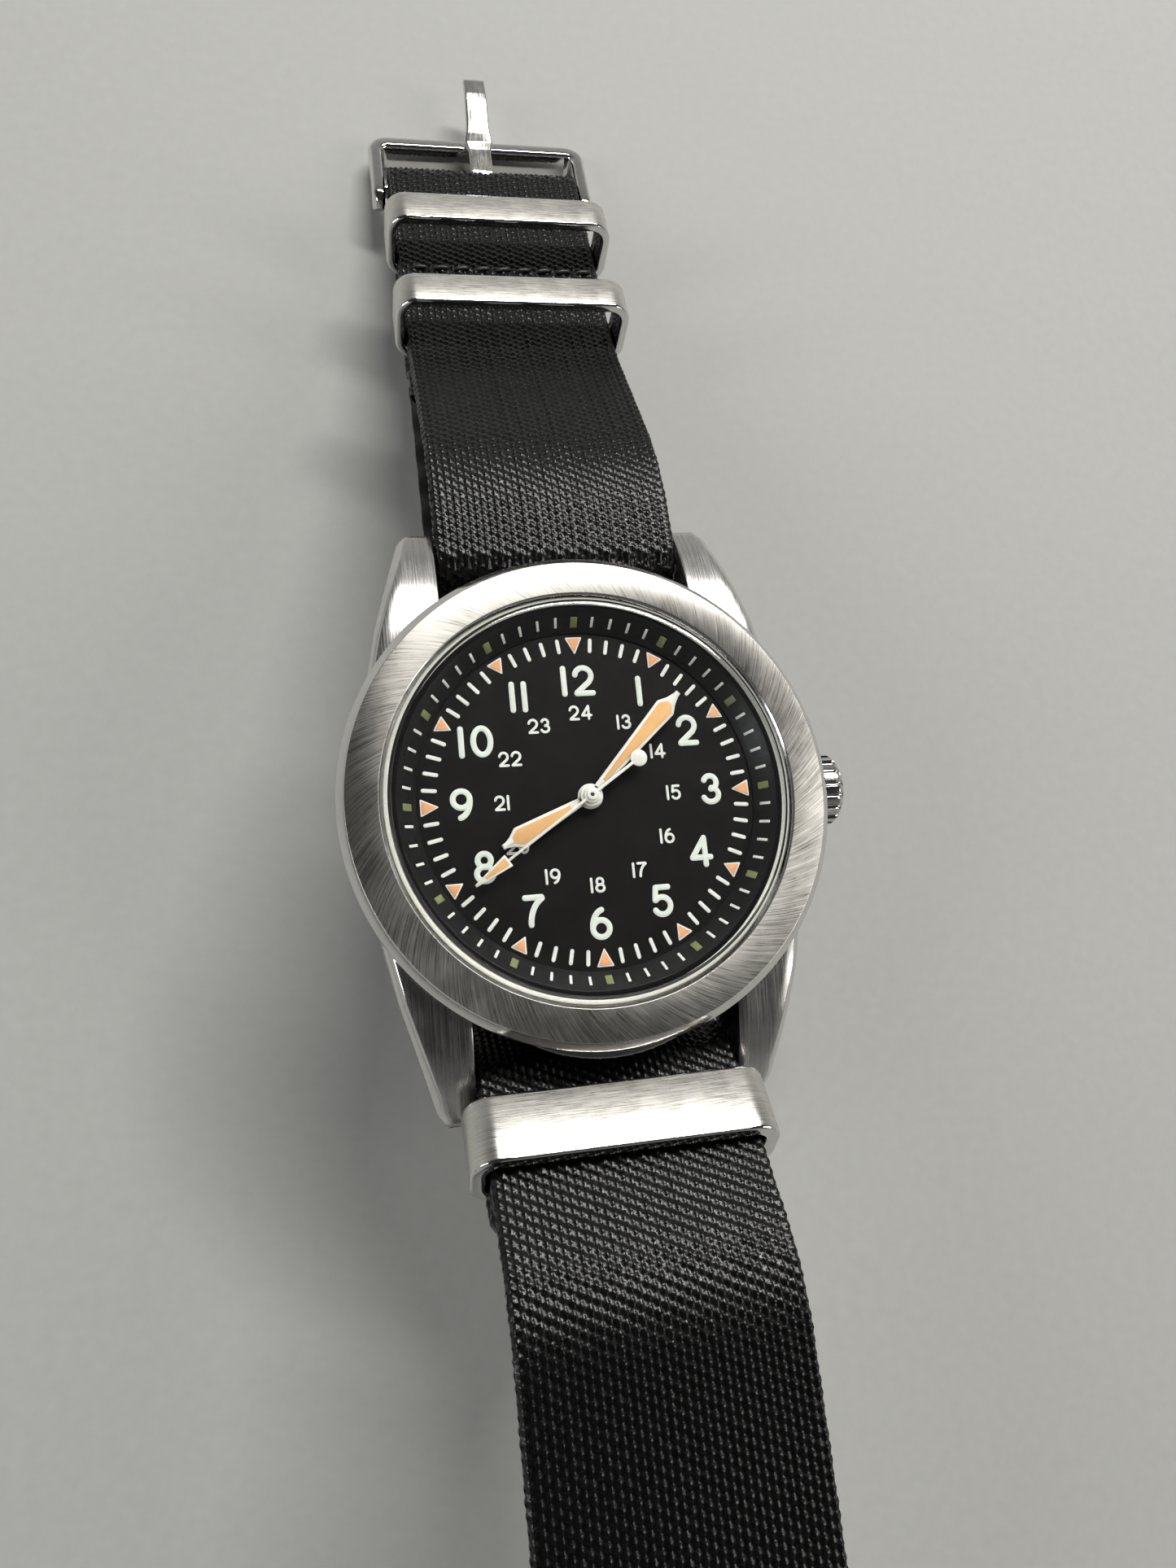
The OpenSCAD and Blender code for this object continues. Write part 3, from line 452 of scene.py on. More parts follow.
def glass():
    a = Mat("crystal_glass")
    a.set(Base_Color=(0.985, 0.995, 0.99, 1), Transmission_Weight=1.0, IOR=1.5)
    c = a.coords(True)
    dust = a.noise(c, 2.2, 6.0, 0.75)
    a.out("Roughness", a.remap(dust, 0.0, 0.035, 0.62, 0.85))
    t = a.node("ShaderNodeBsdfTransparent")
    mix = a.node("ShaderNodeMixShader")
    lp = a.node("ShaderNodeLightPath")
    a.link(lp.outputs["Is Shadow Ray"], mix.inputs[0])
    a.link(a.p.outputs[0], mix.inputs[1])
    a.link(t.outputs[0], mix.inputs[2])
    out = [n for n in a.nt.nodes if n.type == "OUTPUT_MATERIAL"][0]
    a.link(mix.outputs[0], out.inputs["Surface"])
    return a.m


M["glass"] = glass()


def webbing(name, base=(0.0022, 0.0022, 0.0024)):
    """Black nylon yarn: fine filaments along each yarn, a soft gloss and a little lint."""
    a = Mat(name)
    a.set(Specular_IOR_Level=0.4)
    fil = a.noise(a.coords(True, (22, 3.0, 1), (0, 0, D(14))), 1.0, 3.0, 0.7)
    spot = a.noise(a.coords(True, (1.6, 1.6, 1)), 1.0, 4.0, 0.6)
    a.out("Base Color", a.ramp(fil, [(0.32, tuple(x * 0.55 for x in base)), (0.55, base), (0.75, tuple(x * 2.6 for x in base))]))
    add = a.node("ShaderNodeMath", operation="ADD")
    a.link(a.remap(fil, 0.17, 0.3), add.inputs[0])
    a.link(a.remap(spot, -0.05, 0.12), add.inputs[1])
    a.out("Roughness", add.outputs[0])
    a.out("Normal", a.bump(fil, 0.5, 0.012))
    return a.m


M["web"] = webbing("strap_nylon")
M["thread"] = webbing("stitch_thread", (0.03, 0.03, 0.03))

SLOT_MAT = {
    "case_steel": "case",
    "bezel_steel": "bezel",
    "crystal_glass": "glass",
    "clear_plastic": "clear",
    "dial_black": "dial",
    "holder_plastic": "holder",
    "gasket_rubber": "rubber",
    "polished_steel": "polish",
    "ring_steel": "ring_top",
    "movement_steel": "works",
    "movement_plate": "plate",
    "jewel_red": "jewel",
    "blued_steel": "blue",
    "wheel_brass": "brass",
    "hand_white": "hand",
    "strap_webbing": "web",
}
M["case_plain"] = M["case"]
M["polish_obj"] = polished("steel_polished_plain", uv=False, rough=0.12, bevel=0.1)
for sp in frame["record"]["subparts"]:
    ob = NODES[sp["node"]]
    key = SLOT_MAT[sp["material_slot"]]
    if key == "polish":
        key = "polish_obj"
    for s in ob.material_slots:
        s.material = M[key]

# ------------------------------------------------------------------ bezel, crystal, chapter ring, dial
R_BZ, TOP = 19.0, 2.4
b = Parts()
prof = fillet(
    [(15.6, 0.95), (17.45, 0.95), (17.45, 0.3), (18.85, 0.3), (19, 0.5), (19, 1.65), (18.38, 2.4), (15.95, 2.4), (15.6, 2.15)],
    [0, 0, 0, 0.1, 0.1, 0.12, 0.07, 0.07, 0.1],
    True,
    3,
)
# brushed faces and polished edges share one turned body
lathe(b, prof, 320, ru=17)
rz = prof
for k in range(len(b.f)):
    j = k % len(prof)
    a, c = rz[j], rz[(j + 1) % len(prof)]
    flat_top = a[1] > 2.37 and c[1] > 2.37
    b.m[k] = 0 if flat_top else 1
bez = make("bezel_turned", b, [M["bezel"], M["edge"]], "case", ("bezel",), 22)

# ------------------------------------------------------------------ middle case: turned band, ledges and four lugs
mc = Parts()
band = fillet([(15.3, -6.6), (16.9, -6.6), (17.9, -4.2), (18.2, -2.6), (18.2, -0.1), (17.9, 0.25), (17.4, 0.25), (17.4, 0.95), (15.3, 0.95)], [0, 0.25, 0.6, 0.3, 0.25, 0.1, 0, 0, 0], True, 3)
lathe(mc, band, 256, ru=18, mat=1)


def spline(xs, ys, x):
    """Smooth monotone curve through the given stations."""
    xs, ys = np.asarray(xs, float), np.asarray(ys, float)
    h, dl = np.diff(xs), np.diff(ys) / np.diff(xs)
    mm = np.concatenate([[dl[0]], [0 if a * b <= 0 else 2 * a * b / (a + b) for a, b in zip(dl, dl[1:])], [dl[-1]]])
    k_ = np.clip(np.searchsorted(xs, x) - 1, 0, len(xs) - 2)
    t = (x - xs[k_]) / h[k_]
    return (2 * t**3 - 3 * t**2 + 1) * ys[k_] + (t**3 - 2 * t**2 + t) * h[k_] * mm[k_] + (-2 * t**3 + 3 * t**2) * ys[k_ + 1] + (t**3 - t**2) * h[k_] * mm[k_ + 1]


LUG_Y = np.concatenate([np.linspace(7.6, 22.3, 50), 22.3 + 1.2 * np.sin(np.linspace(0.12, 1, 12) * math.pi / 2)])
for sx_ in (1, -1):
    for sy_ in (1, -1):
        rows = []
        for y in LUG_Y:
            xo = float(np.interp(y, [7.5, 14.2, 22.3, 23.5], [16.75, 15.35, 13.05, 12.3]))
            zt_ = float(spline([7.5, 13.0, 17.0, 20.0, 22.4, 23.2, 23.5], [0.22, 0.2, -0.25, -1.2, -2.55, -3.2, -4.1], np.array(y)))
            zb_ = float(np.interp(y, [7.5, 12.0, 22.1, 23.3, 23.5], [-6.58, -6.58, -6.45, -5.7, -4.3]))
            bv = float(np.interp(y, [7.5, 10, 21, 23.5], [0.25, 0.55, 0.7, 0.35]))
            bv = min(bv, (zt_ - zb_) * 0.3)
            xi = 10.17
            sct = [(xi, zb_ + 0.15), (xi, zt_ - 0.14), (xi + 0.05, zt_ - 0.04), (xi + 0.15, zt_)]
            sct += [(xi + 0.15 + (xo - bv - xi - 0.15) * q / 6, zt_) for q in range(1, 7)]
            sct += [(xo - bv * 0.86, zt_ - 0.04), (xo - bv * 0.1, zt_ - bv * 0.92), (xo, zt_ - bv * 1.15), (xo - 0.02, (zt_ + zb_) / 2), (xo - 0.1, zb_ + 0.3), (xo - 0.35, zb_), (xi + 0.2, zb_)]
            rows.append([(sx_ * a_, sy_ * y, b_) for a_, b_ in sct])
        rows = np.array(rows)
        n_ = rows.shape[1]
        # rows start where the band ends, so nothing shows inside it
        v, f, uv = grid(rows, False, True, np.concatenate([LUG_Y, [24.0]]), np.arange(n_ + 1) * 0.7)
        flat = [k_ for face in f for k_ in face]
        V_ = rows.reshape(-1, 3)
        uv = np.stack([V_[flat][:, 1], V_[flat][:, 0]], 1)
        keep, kuv, km = [], [], []
        for q, face in enumerate(f):
            c_ = V_[face].mean(0)
            if math.hypot(c_[0], c_[1]) < 16.1:
                continue
            keep.append(face)
            kuv.append(uv[4 * q : 4 * q + 4])
            j_ = q % n_
            km.append(1 if j_ in (9, 10, 11) else 0)
        keep.append([(len(LUG_Y) - 1) * n_ + q for q in range(n_)])
        kuv.append(V_[keep[-1]][:, [0, 2]])
        km.append(1)
        base_n = mc.n
        mc.add(V_, keep, np.concatenate(kuv))
        mc.m[-len(km):] = km
for sy_ in (1, -1):
    pts2 = []
    lx = 6.9
    inner_a = [(16.45 * math.sin(t_), 16.45 * math.cos(t_)) for t_ in np.linspace(-0.42, 0.42, 40)]
    outer_a = [(12.52 * math.sin(t_), 7.05 + 12.52 * math.cos(t_)) for t_ in np.linspace(0.56, -0.56, 48)]
    poly = [(a_, b_ * sy_) for a_, b_ in inner_a + outer_a]
    plate(mc, poly, -0.75, 0.99, 0.14, None, 1)
make("mid_case_turned", mc, [M["lug"], M["lug_edge"]], "case", ("mid_case",), 28)

c = Parts()
# sapphire: shallow dome outside, a fine chamfer and a polished side
outer = [(15.3, 1.5), (15.3, 2.62), (15.02, 2.93)]
dome = [(r, 3.32 - 0.36 * (r / 15.0) ** 2) for r in np.linspace(14.85, 0.0, 26)]
under = [(r, 1.62 - 0.13 * (r / 14.65) ** 2) for r in np.linspace(0.0, 14.65, 22)]
cp = fillet(outer, [0, 0.04, 0.05], False, 2).tolist() + dome + under + [(14.65, 1.5)]
lathe(c, cp, 256, ru=14)
make("crystal_turned", c, M["glass"], "case", ("crystal",), 18, merge=True)

g = Parts()
lathe(g, fillet([(13.15, 0.0), (14.95, 0), (14.95, 1.5), (14.6, 1.5), (13.15, 0.12)], [0, 0, 0, 0.04, 0.03], True, 2), 256, ru=14)
make("chapter_ring_turned", g, M["flange"], "case", ("chapter_ring",), 25)

d = Parts()
lathe(d, [(0.8, -0.4), (14.2, -0.4), (14.2, -0.02), (14.18, 0), (0.84, 0), (0.8, -0.03)], 192, ru=14)
make("dial_turned", d, M["dial"], "case", ("dial",), 25)


def polar(deg, r):
    return np.array([r * sin(deg), r * cos(deg)])


def turned(deg):
    """Local (across, out, z) to the head frame, pointing deg clockwise from 12."""
    s, k = sin(deg), cos(deg)
    return lambda v: np.stack([v[:, 0] * k + v[:, 1] * s, -v[:, 0] * s + v[:, 1] * k, v[:, 2]], 1)


EPS = -0.004
pr = Parts()
for i in range(60):
    if i % 5:
        stroke(pr, [(0, 11.72), (0, 12.1), (0, 12.62)], 0.30, EPS, 0.035, turned(i * 6), 0, 0.02)
    else:
        tip = 11.42 if i % 15 == 0 else 11.62
        tri = fillet([(0, tip), (0.69, 12.84), (-0.69, 12.84)], [0.05, 0.07, 0.07], True, 3)
        plate(pr, tri, EPS, 0.03, 0.015, turned(i * 6), 0)
        tri = fillet(offset(ccw([(0, tip), (0.69, 12.84), (-0.69, 12.84)]), 0.1), 0.03, True, 2)
        plate(pr, tri, EPS, 0.06, 0.025, turned(i * 6), 1)
make("dial_track", pr, [M["white"], M["salmon"]], "case", (), 40, fix=True)

# ------------------------------------------------------------------ numerals: one line width, rounded ends


def arc(cx, cy, rx, ry, a0, a1, n=18):
    return [(cx + rx * cos(a0 + (a1 - a0) * k / n), cy + ry * sin(a0 + (a1 - a0) * k / n)) for k in range(n + 1)]


def seg(*p):
    out = []
    for a, c in zip(p, p[1:]):
        out += [(a[0] + (c[0] - a[0]) * k / 3, a[1] + (c[1] - a[1]) * k / 3) for k in range(3)]
    return out + [p[-1]]


GLYPH = {
    "0": (0.64, [arc(0.32, 0.5, 0.32, 0.5, 90, 450, 32)]),
    "1": (0.0, [seg((0, 0), (0, 1))]),
    "2": (0.62, [arc(0.31, 0.69, 0.31, 0.31, 172, -28, 16) + seg((0.52, 0.44), (0.03, 0.03)), seg((0.02, 0), (0.64, 0))]),
    "3": (0.58, [arc(0.29, 0.745, 0.25, 0.255, 158, -88, 16), arc(0.28, 0.27, 0.30, 0.27, 82, -160, 18)]),
    "4": (0.70, [seg((0.50, 1.0), (0.0, 0.28)), seg((0.0, 0.27), (0.70, 0.27)), seg((0.50, 1.0), (0.50, 0.0))]),
    "5": (0.60, [seg((0.56, 1.0), (0.09, 1.0)), seg((0.09, 1.0), (0.04, 0.54)), arc(0.29, 0.32, 0.31, 0.32, 138, -150, 20)]),
    "6": (0.62, [arc(0.31, 0.31, 0.31, 0.31, 90, 450, 28), arc(0.47, 0.33, 0.47, 0.67, 180, 102, 14)]),
    "7": (0.60, [seg((0.0, 1.0), (0.60, 1.0)), arc(1.02, 0.02, 0.86, 1.06, 118, 180, 14)[::1]]),
    "8": (0.60, [arc(0.30, 0.755, 0.24, 0.245, -90, 270, 26), arc(0.30, 0.265, 0.30, 0.265, 90, 450, 28)]),
    "9": (0.62, [arc(0.31, 0.69, 0.31, 0.31, -90, 270, 28), arc(0.15, 0.67, 0.47, 0.67, 0, -78, 14)]),
}


def numeral(parts, text, centre, h, w, gap, layers, lift):
    """Upright numerals; h is the height over the rounded ends, w the line width."""
    k = h - w
    total = sum(GLYPH[t][0] * k for t in text) + gap * (len(text) - 1)
    x = centre[0] - total / 2
    z = 0.0
    for t in text:
        for line in GLYPH[t][1]:
            pts = [(x + px * k, centre[1] - k / 2 + py * k) for px, py in line]
            for (grow, th, m) in layers:
                stroke(parts, pts, w - grow, EPS, th + lift + z, None, m, 0.022)
            z += 0.0015
        x += GLYPH[t][0] * k + gap


nm = Parts()
CENTRE = {12: (0.02, 9.3), 1: (4.85, 8.25), 2: (8.38, 4.9), 3: (9.75, 0.1), 4: (8.38, -4.75), 5: (4.86, -8.3), 6: (-0.05, -9.6), 7: (-5.0, -8.3), 8: (-8.4, -4.75), 9: (-9.75, 0.08), 10: (-8.3, 4.85), 11: (-4.75, 8.2)}
for n, cc in CENTRE.items():
    numeral(nm, str(n), cc, 2.5, 0.44, 0.92 if n in (10, 12) else 0.94, [(0.0, 0.03, 0), (0.12, 0.048, 1)], 0.0)
for n in range(1, 13):
    cc = polar(n * 30, 6.72)
    numeral(nm, str(n + 12), cc, 1.2, 0.2, 0.36 if n < 8 else 0.34, [(0.0, 0.03, 0)], 0.0)
make("dial_numerals", nm, [M["white"], M["lume_w"]], "case", (), 40)

# ticks and lumed blocks on the sloped flange
tk = Parts()
sl_a = math.degrees(math.atan2(1.5 - 0.12, 14.6 - 13.15))


def flange(deg):
    t = turned(deg)

    def place(v):
        # v: across, up the slope from its foot, off the surface
        r = 13.15 + v[:, 1] * cos(sl_a) - v[:, 2] * sin(sl_a)
        z = 0.12 + v[:, 1] * sin(sl_a) + v[:, 2] * cos(sl_a)
        return t(np.stack([v[:, 0], r, z], 1))

    return place


for i in range(60):
    if i % 5:
        plate(tk, [(-0.105, 0.55), (0.105, 0.55), (0.105, 1.44), (-0.105, 1.44)], EPS, 0.03, 0.012, flange(i * 6), 0)
    else:
        plate(tk, fillet([(-0.27, 0.5), (0.27, 0.5), (0.27, 1.4), (-0.27, 1.4)], 0.04, True, 2), EPS, 0.04, 0.015, flange(i * 6), 1)
make("flange_ticks", tk, [M["tick"], M["olive"]], "case", (), 40)

# ------------------------------------------------------------------ hands
HOUR, MINUTE, SECOND = 243.8, 45.0, 236.2


def hand_outline(length, w, sh, root):
    a = [(0.2, length), (0.23, length - 0.35), (w * 0.52, sh + 0.42 * (length - sh)), (w, sh), (0.31, root * 0.7)]
    return [(-x, y) for x, y in a[::-1]] + a


def dagger(name, deg, length, w, sh, root, z0, t, body, node, lume0, boss):
    p = Parts()
    out = fillet(hand_outline(length, w, sh, root), [0.02, 0.08, 0.35, 0.1, 0.02, 0.02, 0.1, 0.35, 0.08, 0.02], True, 4)
    plate(p, out, z0, t, 0.045, turned(deg), 0)
    inner = [(0, sh + 0.62), (w - 0.2, sh - 0.08), (w * 0.5 * (lume0 / sh) + 0.06, lume0)]
    win = [(-x, y) for x, y in inner[:0:-1]] + inner
    win = fillet(ccw([(-inner[2][0], inner[2][1]), (inner[2][0], inner[2][1]), inner[1], (0.26, sh + 0.5), (-0.26, sh + 0.5), (-inner[1][0], inner[1][1])]), [0.04, 0.04, 0.1, 0.12, 0.12, 0.1], True, 3)
    plate(p, win, z0 + t - 0.02, 0.045, 0.022, turned(deg), 1)
    # outline for a rim round the window; it is computed but not built
    ring = offset(ccw(win), -0.03)
    # boss
    lathe(p, fillet([(boss[0], z0), (root, z0), (root, z0 + boss[1]), (boss[0], z0 + boss[1])], [0, 0.02, 0.06, 0.03], True, 3), 64, mat=0)
    lathe(p, fillet([(boss[0], z0 + 0.05), (root * 0.72, z0 + 0.05), (root * 0.72, z0 + boss[2]), (boss[0], z0 + boss[2])], [0, 0.02, 0.05, 0.02], True, 3), 64, mat=0)
    return make(name, p, [M["hand"], M["lume_p"]], body, (node,), 38)


dagger("hour_hand_lacquered", HOUR, 7.8, 0.84, 6.35, 0.98, 0.45, 0.18, "hours", "hour_hand", 1.75, (0.5, 0.18, 0.36))
dagger("minute_hand_lacquered", MINUTE, 11.0, 0.84, 9.3, 0.86, 0.85, 0.16, "minutes", "minute_hand", 1.55, (0.2, 0.16, 0.2))
s = Parts()
zt = 1.1
plate(s, fillet([(-0.12, -4.3), (0.12, -4.3), (0.1, 8.15), (-0.1, 8.15)], 0.03, True, 2), zt, 0.12, 0.035, turned(SECOND), 0)
plate(s, fillet([(-0.52, 8.1), (0.52, 8.1), (0.1, 11.2), (-0.1, 11.2)], [0.04, 0.04, 0.05, 0.05], True, 3), zt, 0.12, 0.03, turned(SECOND), 0)
plate(s, fillet([(-0.34, 8.25), (0.34, 8.25), (0.1, 10.3), (-0.1, 10.3)], 0.04, True, 2), zt + 0.11, 0.03, 0.015, turned(SECOND), 1)
cwt = polar(SECOND, -4.75)
lathe(s, fillet([(0.0, zt), (0.66, zt), (0.66, zt + 0.125), (0.0, zt + 0.125)], [0, 0.02, 0.05, 0], True, 3), 48, mat=0, place=lambda v: v + np.array([cwt[0], cwt[1], 0]))
lathe(s, fillet([(0.15, zt - 0.02), (0.62, zt - 0.02), (0.62, zt + 0.14), (0.44, zt + 0.15), (0.42, zt + 0.28), (0.15, zt + 0.3)], [0, 0.02, 0.04, 0.02, 0.05, 0.03], True, 3), 56, mat=0)
lathe(s, fillet([(0.0, zt + 0.12), (0.16, zt + 0.12), (0.14, zt + 0.33), (0.0, zt + 0.34)], [0, 0, 0.03, 0], True, 2), 32, mat=2)
make("seconds_hand_lacquered", s, [M["hand"], M["lume_p"], M["dark"]], "seconds", ("seconds_hand",), 38, merge=True)

# ------------------------------------------------------------------ crown
k = Parts()
CX0, CZ, CR, CL = 18.5, -2.7, 2.9, 3.2
cprof = fillet([(0.0, 0.75), (1.0, 0.75), (1.0, 0.95), (1.85, 0.95), (1.85, 0), (2.7, 0), (2.9, 0.25), (2.9, 2.35), (2.66, 2.68), (2.3, 2.82)], [0, 0, 0, 0.05, 0.08, 0.12, 0.15, 0.2, 0.15, 0], False, 4)
cap = [(2.3 * math.cos(t), 2.82 + 0.38 * math.sin(t)) for t in np.linspace(0.05, math.pi / 2, 12)]
cprof = np.array(cprof.tolist() + cap)
SEG = 18 * 14
th = np.arange(SEG) * 2 * math.pi / SEG
ph = (th * 18 / (2 * math.pi)) % 1.0
flute = np.clip(1 - (np.abs(ph - 0.5) / 0.27) ** 2, 0, 1) ** 0.5
depth = np.interp(cprof[:, 1], [0, 0.12, 2.3, 2.75, 2.85], [0.26, 0.3, 0.3, 0.12, 0.0]) * (cprof[:, 0] > 2.25)
rad = cprof[None, :, 0] - flute[:, None] * depth[None, :]
pts = np.stack([np.broadcast_to(cprof[None, :, 1] + CX0, rad.shape), rad * np.cos(th)[:, None], rad * np.sin(th)[:, None] + CZ], -1)
v, f, uv = grid(pts, True, False, np.arange(SEG + 1) * 0.07, np.arange(len(cprof) + 1) * 0.2)
k.add(v, f, uv)
make("crown_fluted", k, M["crown"], "crown", ("crown",), 40, merge=True)

# ------------------------------------------------------------------ strap paths, as in the CAD
BAR_WRAP, CLIMB, CLIMB_R, OUT12, OUT6, BAR_Y, BAR_Z, WEB_Z, WEB_T = 1.45, 62.0, 3.0, -6.0, 34.0, 21.0, -3.7, -8.95, 1.2
BUCK_R, TAIL_DROP, FOOT_R, TAIL_FLAT = 1.65, 62.0, 12.0, 55.0
tan_y, tan_z = BAR_Y - BAR_WRAP * sin(CLIMB), BAR_Z + BAR_WRAP * cos(CLIMB)
climb_l = (tan_z - WEB_Z - CLIMB_R * (1 - cos(CLIMB))) / sin(CLIMB)
under_l = tan_y - CLIMB_R * sin(CLIMB) - climb_l * cos(CLIMB)


def bend(r, a):
    return (abs(r * a * math.pi / 180), a)


HEAD = [(under_l, 0), bend(CLIMB_R, CLIMB), (climb_l, 0)]
SEG12 = HEAD + [bend(BAR_WRAP, OUT12 - CLIMB), (3, 0), bend(24, -25), (11, 0), bend(34, 14), (21, 0)]
SEG6 = HEAD + [bend(BAR_WRAP, OUT6 - CLIMB), (13.6, 0), bend(14, 3 - OUT6), (20, 0), bend(26, -3 - TAIL_DROP)]


def walk(segs, p, ds=0.1):
    out = [p]
    for L, T in segs:
        n = max(1, math.ceil(L / ds))
        q = out[-1]
        for i in range(1, n + 1):
            t = i / n
            a = q[2] + T * t
            if T == 0:
                out.append((q[0] + L * t * cos(q[2]), q[1] + L * t * sin(q[2]), a))
            else:
                R = L / (T * math.pi / 180)
                out.append((q[0] + R * (sin(a) - sin(q[2])), q[1] - R * (cos(a) - cos(q[2])), a))
    return out


p12 = walk(SEG12, (0, WEB_Z, 0))
p6 = walk(SEG6, (0, WEB_Z, 0))
b12 = p12[-1]


def off(p, n):
    return (p[0] - n * sin(p[2]), p[1] + n * cos(p[2]))


bar_c = off(b12, -BUCK_R)
floor_z = bar_c[1] + 7.4 * sin(b12[2]) - 1.3 * cos(b12[2])
q6 = p6[-1]
flat_z = floor_z + WEB_T / 2
drop_l = (q6[1] - flat_z - FOOT_R * (1 - cos(TAIL_DROP))) / sin(TAIL_DROP)
p6 = p6 + walk([(drop_l, 0), bend(FOOT_R, TAIL_DROP), (TAIL_FLAT, 0)], q6)[1:]
tail_y = -p6[-1][0]
KEEP1, KEEP2, SEAM = 11.4, 23.1, 30.7


def back12(s):
    return (b12[0] - s * cos(b12[2]), b12[1] - s * sin(b12[2]), b12[2])


def bell(s, c):
    q = abs(s - c)
    return 0.0 if q >= 4.6 else 1.0 if q <= 2.4 else (1 + cos(180 * (q - 2.4) / 2.2)) / 2


def gap(s):
    return WEB_T + 0.12 + (2 * BUCK_R - WEB_T - 0.12) * max(bell(s, KEEP1), bell(s, KEEP2), (1 + cos(180 * s / 4)) / 2 if s < 4 else 0)


turn = [(bar_c[0] + BUCK_R * sin(a - b12[2]), bar_c[1] + BUCK_R * cos(a - b12[2])) for a in np.arange(3, 181, 3.0)]
fold = [off(back12(s), -gap(s)) for s in np.arange(0.2, SEAM + 0.01, 0.2)]
main = np.array([(-p[0], p[1]) for p in p6[:0:-1]] + [(p[0], p[1]) for p in p12] + turn + fold)


def resample(P, ds):
    s = np.concatenate([[0], np.cumsum(np.hypot(*np.diff(P, axis=0).T))])
    keep = np.concatenate([[True], np.diff(s) > 1e-9])
    P, s = P[keep], s[keep]
    n = int(round(s[-1] / ds))
    t = np.linspace(0, s[-1], n + 1)
    Q = np.stack([np.interp(t, s, P[:, 0]), np.interp(t, s, P[:, 1])], 1)
    for _ in range(2):
        Q[1:-1] = Q[1:-1] * 0.5 + (Q[:-2] + Q[2:]) * 0.25
    return Q, t


ROW, COLS = 0.8, 36
main_p, main_s = resample(main, ROW / 4)
LEN_MAIN = main_s[-1]
S_TURN = LEN_MAIN - SEAM - BUCK_R * math.pi  # start of the turn round the buckle bar
S_BUCK = sum(x[0] for x in SEG12)
S_MID = float(sum(np.hypot(*np.diff(np.array([(-p[0], p[1]) for p in p6[::-1]]), axis=0).T)))  # from the tail's end to under the case


def normals(P):
    d_ = np.gradient(P, axis=0)
    d_ /= np.hypot(d_[:, 0], d_[:, 1])[:, None]
    return np.stack([-d_[:, 1], d_[:, 0]], 1)


def weave(u, s, colw=20.0 / COLS):
    """Height of the yarn floats over the cloth's middle, in mm, over (u across, s along)."""
    cidx = np.floor((u + 10) / colw)
    a = (u + 10) / colw - cidx
    # the floats step from column to column, and lean a little
    phase = s / ROW + cidx * 0.38 + 0.30 * (a - 0.5) + 0.05 * np.sin(cidx * 12.9)
    fr = phase - np.floor(phase)
    across = 0.3 + 0.7 * np.clip(1 - (2 * a - 1) ** 2, 0, 1) ** 0.5
    along = np.clip(np.sin(np.pi * fr), 0, 1) ** 0.6
    k_ = np.sin(np.floor(phase) * 78.233 + cidx * 37.719) * 43758.5453
    jit = (k_ - np.floor(k_)) - 0.5
    return (across * along) * (1 + 0.22 * jit)


def half_width(s):
    return np.where(s < 10, np.sqrt(np.clip(100 - (10 - s) ** 2, 0.9, 100)), 10.0)


def ribbon(parts, P, S, i0, i1, u0=-10.0, u1=10.0, per=3, amp=0.26, tail=False, under=9):
    """A closed woven strip from path index i0 to i1, from u0 to u1 across."""
    Q, s, nn = P[i0 : i1 + 1], S[i0 : i1 + 1], normals(P)[i0 : i1 + 1]
    colw = 20.0 / COLS
    ncol = max(1, int(round((u1 - u0) / colw)))
    ut = np.linspace(u0, u1, ncol * per + 1)
    ub = np.linspace(u1, u0, under + 1)
    edge_r = WEB_T / 2
    m = len(Q)
    top = WEB_T / 2 - amp * 0.55 + amp * weave(ut[None, :], s[:, None]) * 1.0
    # the selvedges round down
    ed = np.minimum(ut - u0, u1 - ut)
    rnd = np.where(ed < 0.5, 0.32 * (1 - np.sqrt(np.clip(1 - ((0.5 - ed) / 0.5) ** 2, 0, 1))), 0)
    top = top - rnd[None, :]
    bot = -(WEB_T / 2) + amp * 0.45 - amp * 0.8 * weave(ub[None, :] * 0.999, s[:, None] + 0.4) * 0.5
    rb = np.minimum(ub - u0, u1 - ub)
    bot = bot + np.where(rb < 0.5, 0.25, 0)[None, :]
    # selvedge loops
    lp = 0.05 * np.sin(2 * np.pi * s / ROW) + 0.03 * np.sin(s * 1.7)
    sideR = np.stack([np.full(m, u1) + 0.02 + lp, np.full(m, u1) + 0.03 + lp], 1)
    sideL = np.stack([np.full(m, u0) - 0.03 - lp, np.full(m, u0) - 0.02 - lp], 1)
    U = np.concatenate([np.broadcast_to(ut, (m, len(ut))), sideR, np.broadcast_to(ub, (m, len(ub))), sideL], 1)
    H = np.concatenate([top, np.stack([np.full(m, 0.2), np.full(m, -0.22)], 1), bot, np.stack([np.full(m, -0.22), np.full(m, 0.2)], 1)], 1)
    if tail:
        U = U * (half_width(s) / 10.0)[:, None]
    sag = 0.0
    pts = np.stack([U, Q[:, None, 0] + nn[:, None, 0] * H, Q[:, None, 1] + nn[:, None, 1] * H], -1)
    n = U.shape[1]
    uu = np.concatenate([ut, [u1 + 0.3, u1 + 0.6], ub + 0.0, [u0 - 0.6, u0 - 0.3], [u0]])
    v, f, uv = grid(pts, False, True, s.tolist() + [s[-1]], uu)
    uv = uv[:, ::-1]
    f += [list(range(n))[::-1], [(m - 1) * n + q for q in range(n)]]
    cap = np.zeros((2 * n, 2))
    cap[:, 0] = np.concatenate([U[0][::-1], U[-1]])
    parts.add(v, f, np.concatenate([uv, cap]))
    return pts


def idx(s):
    return int(round(s / main_s[-1] * (len(main_s) - 1)))


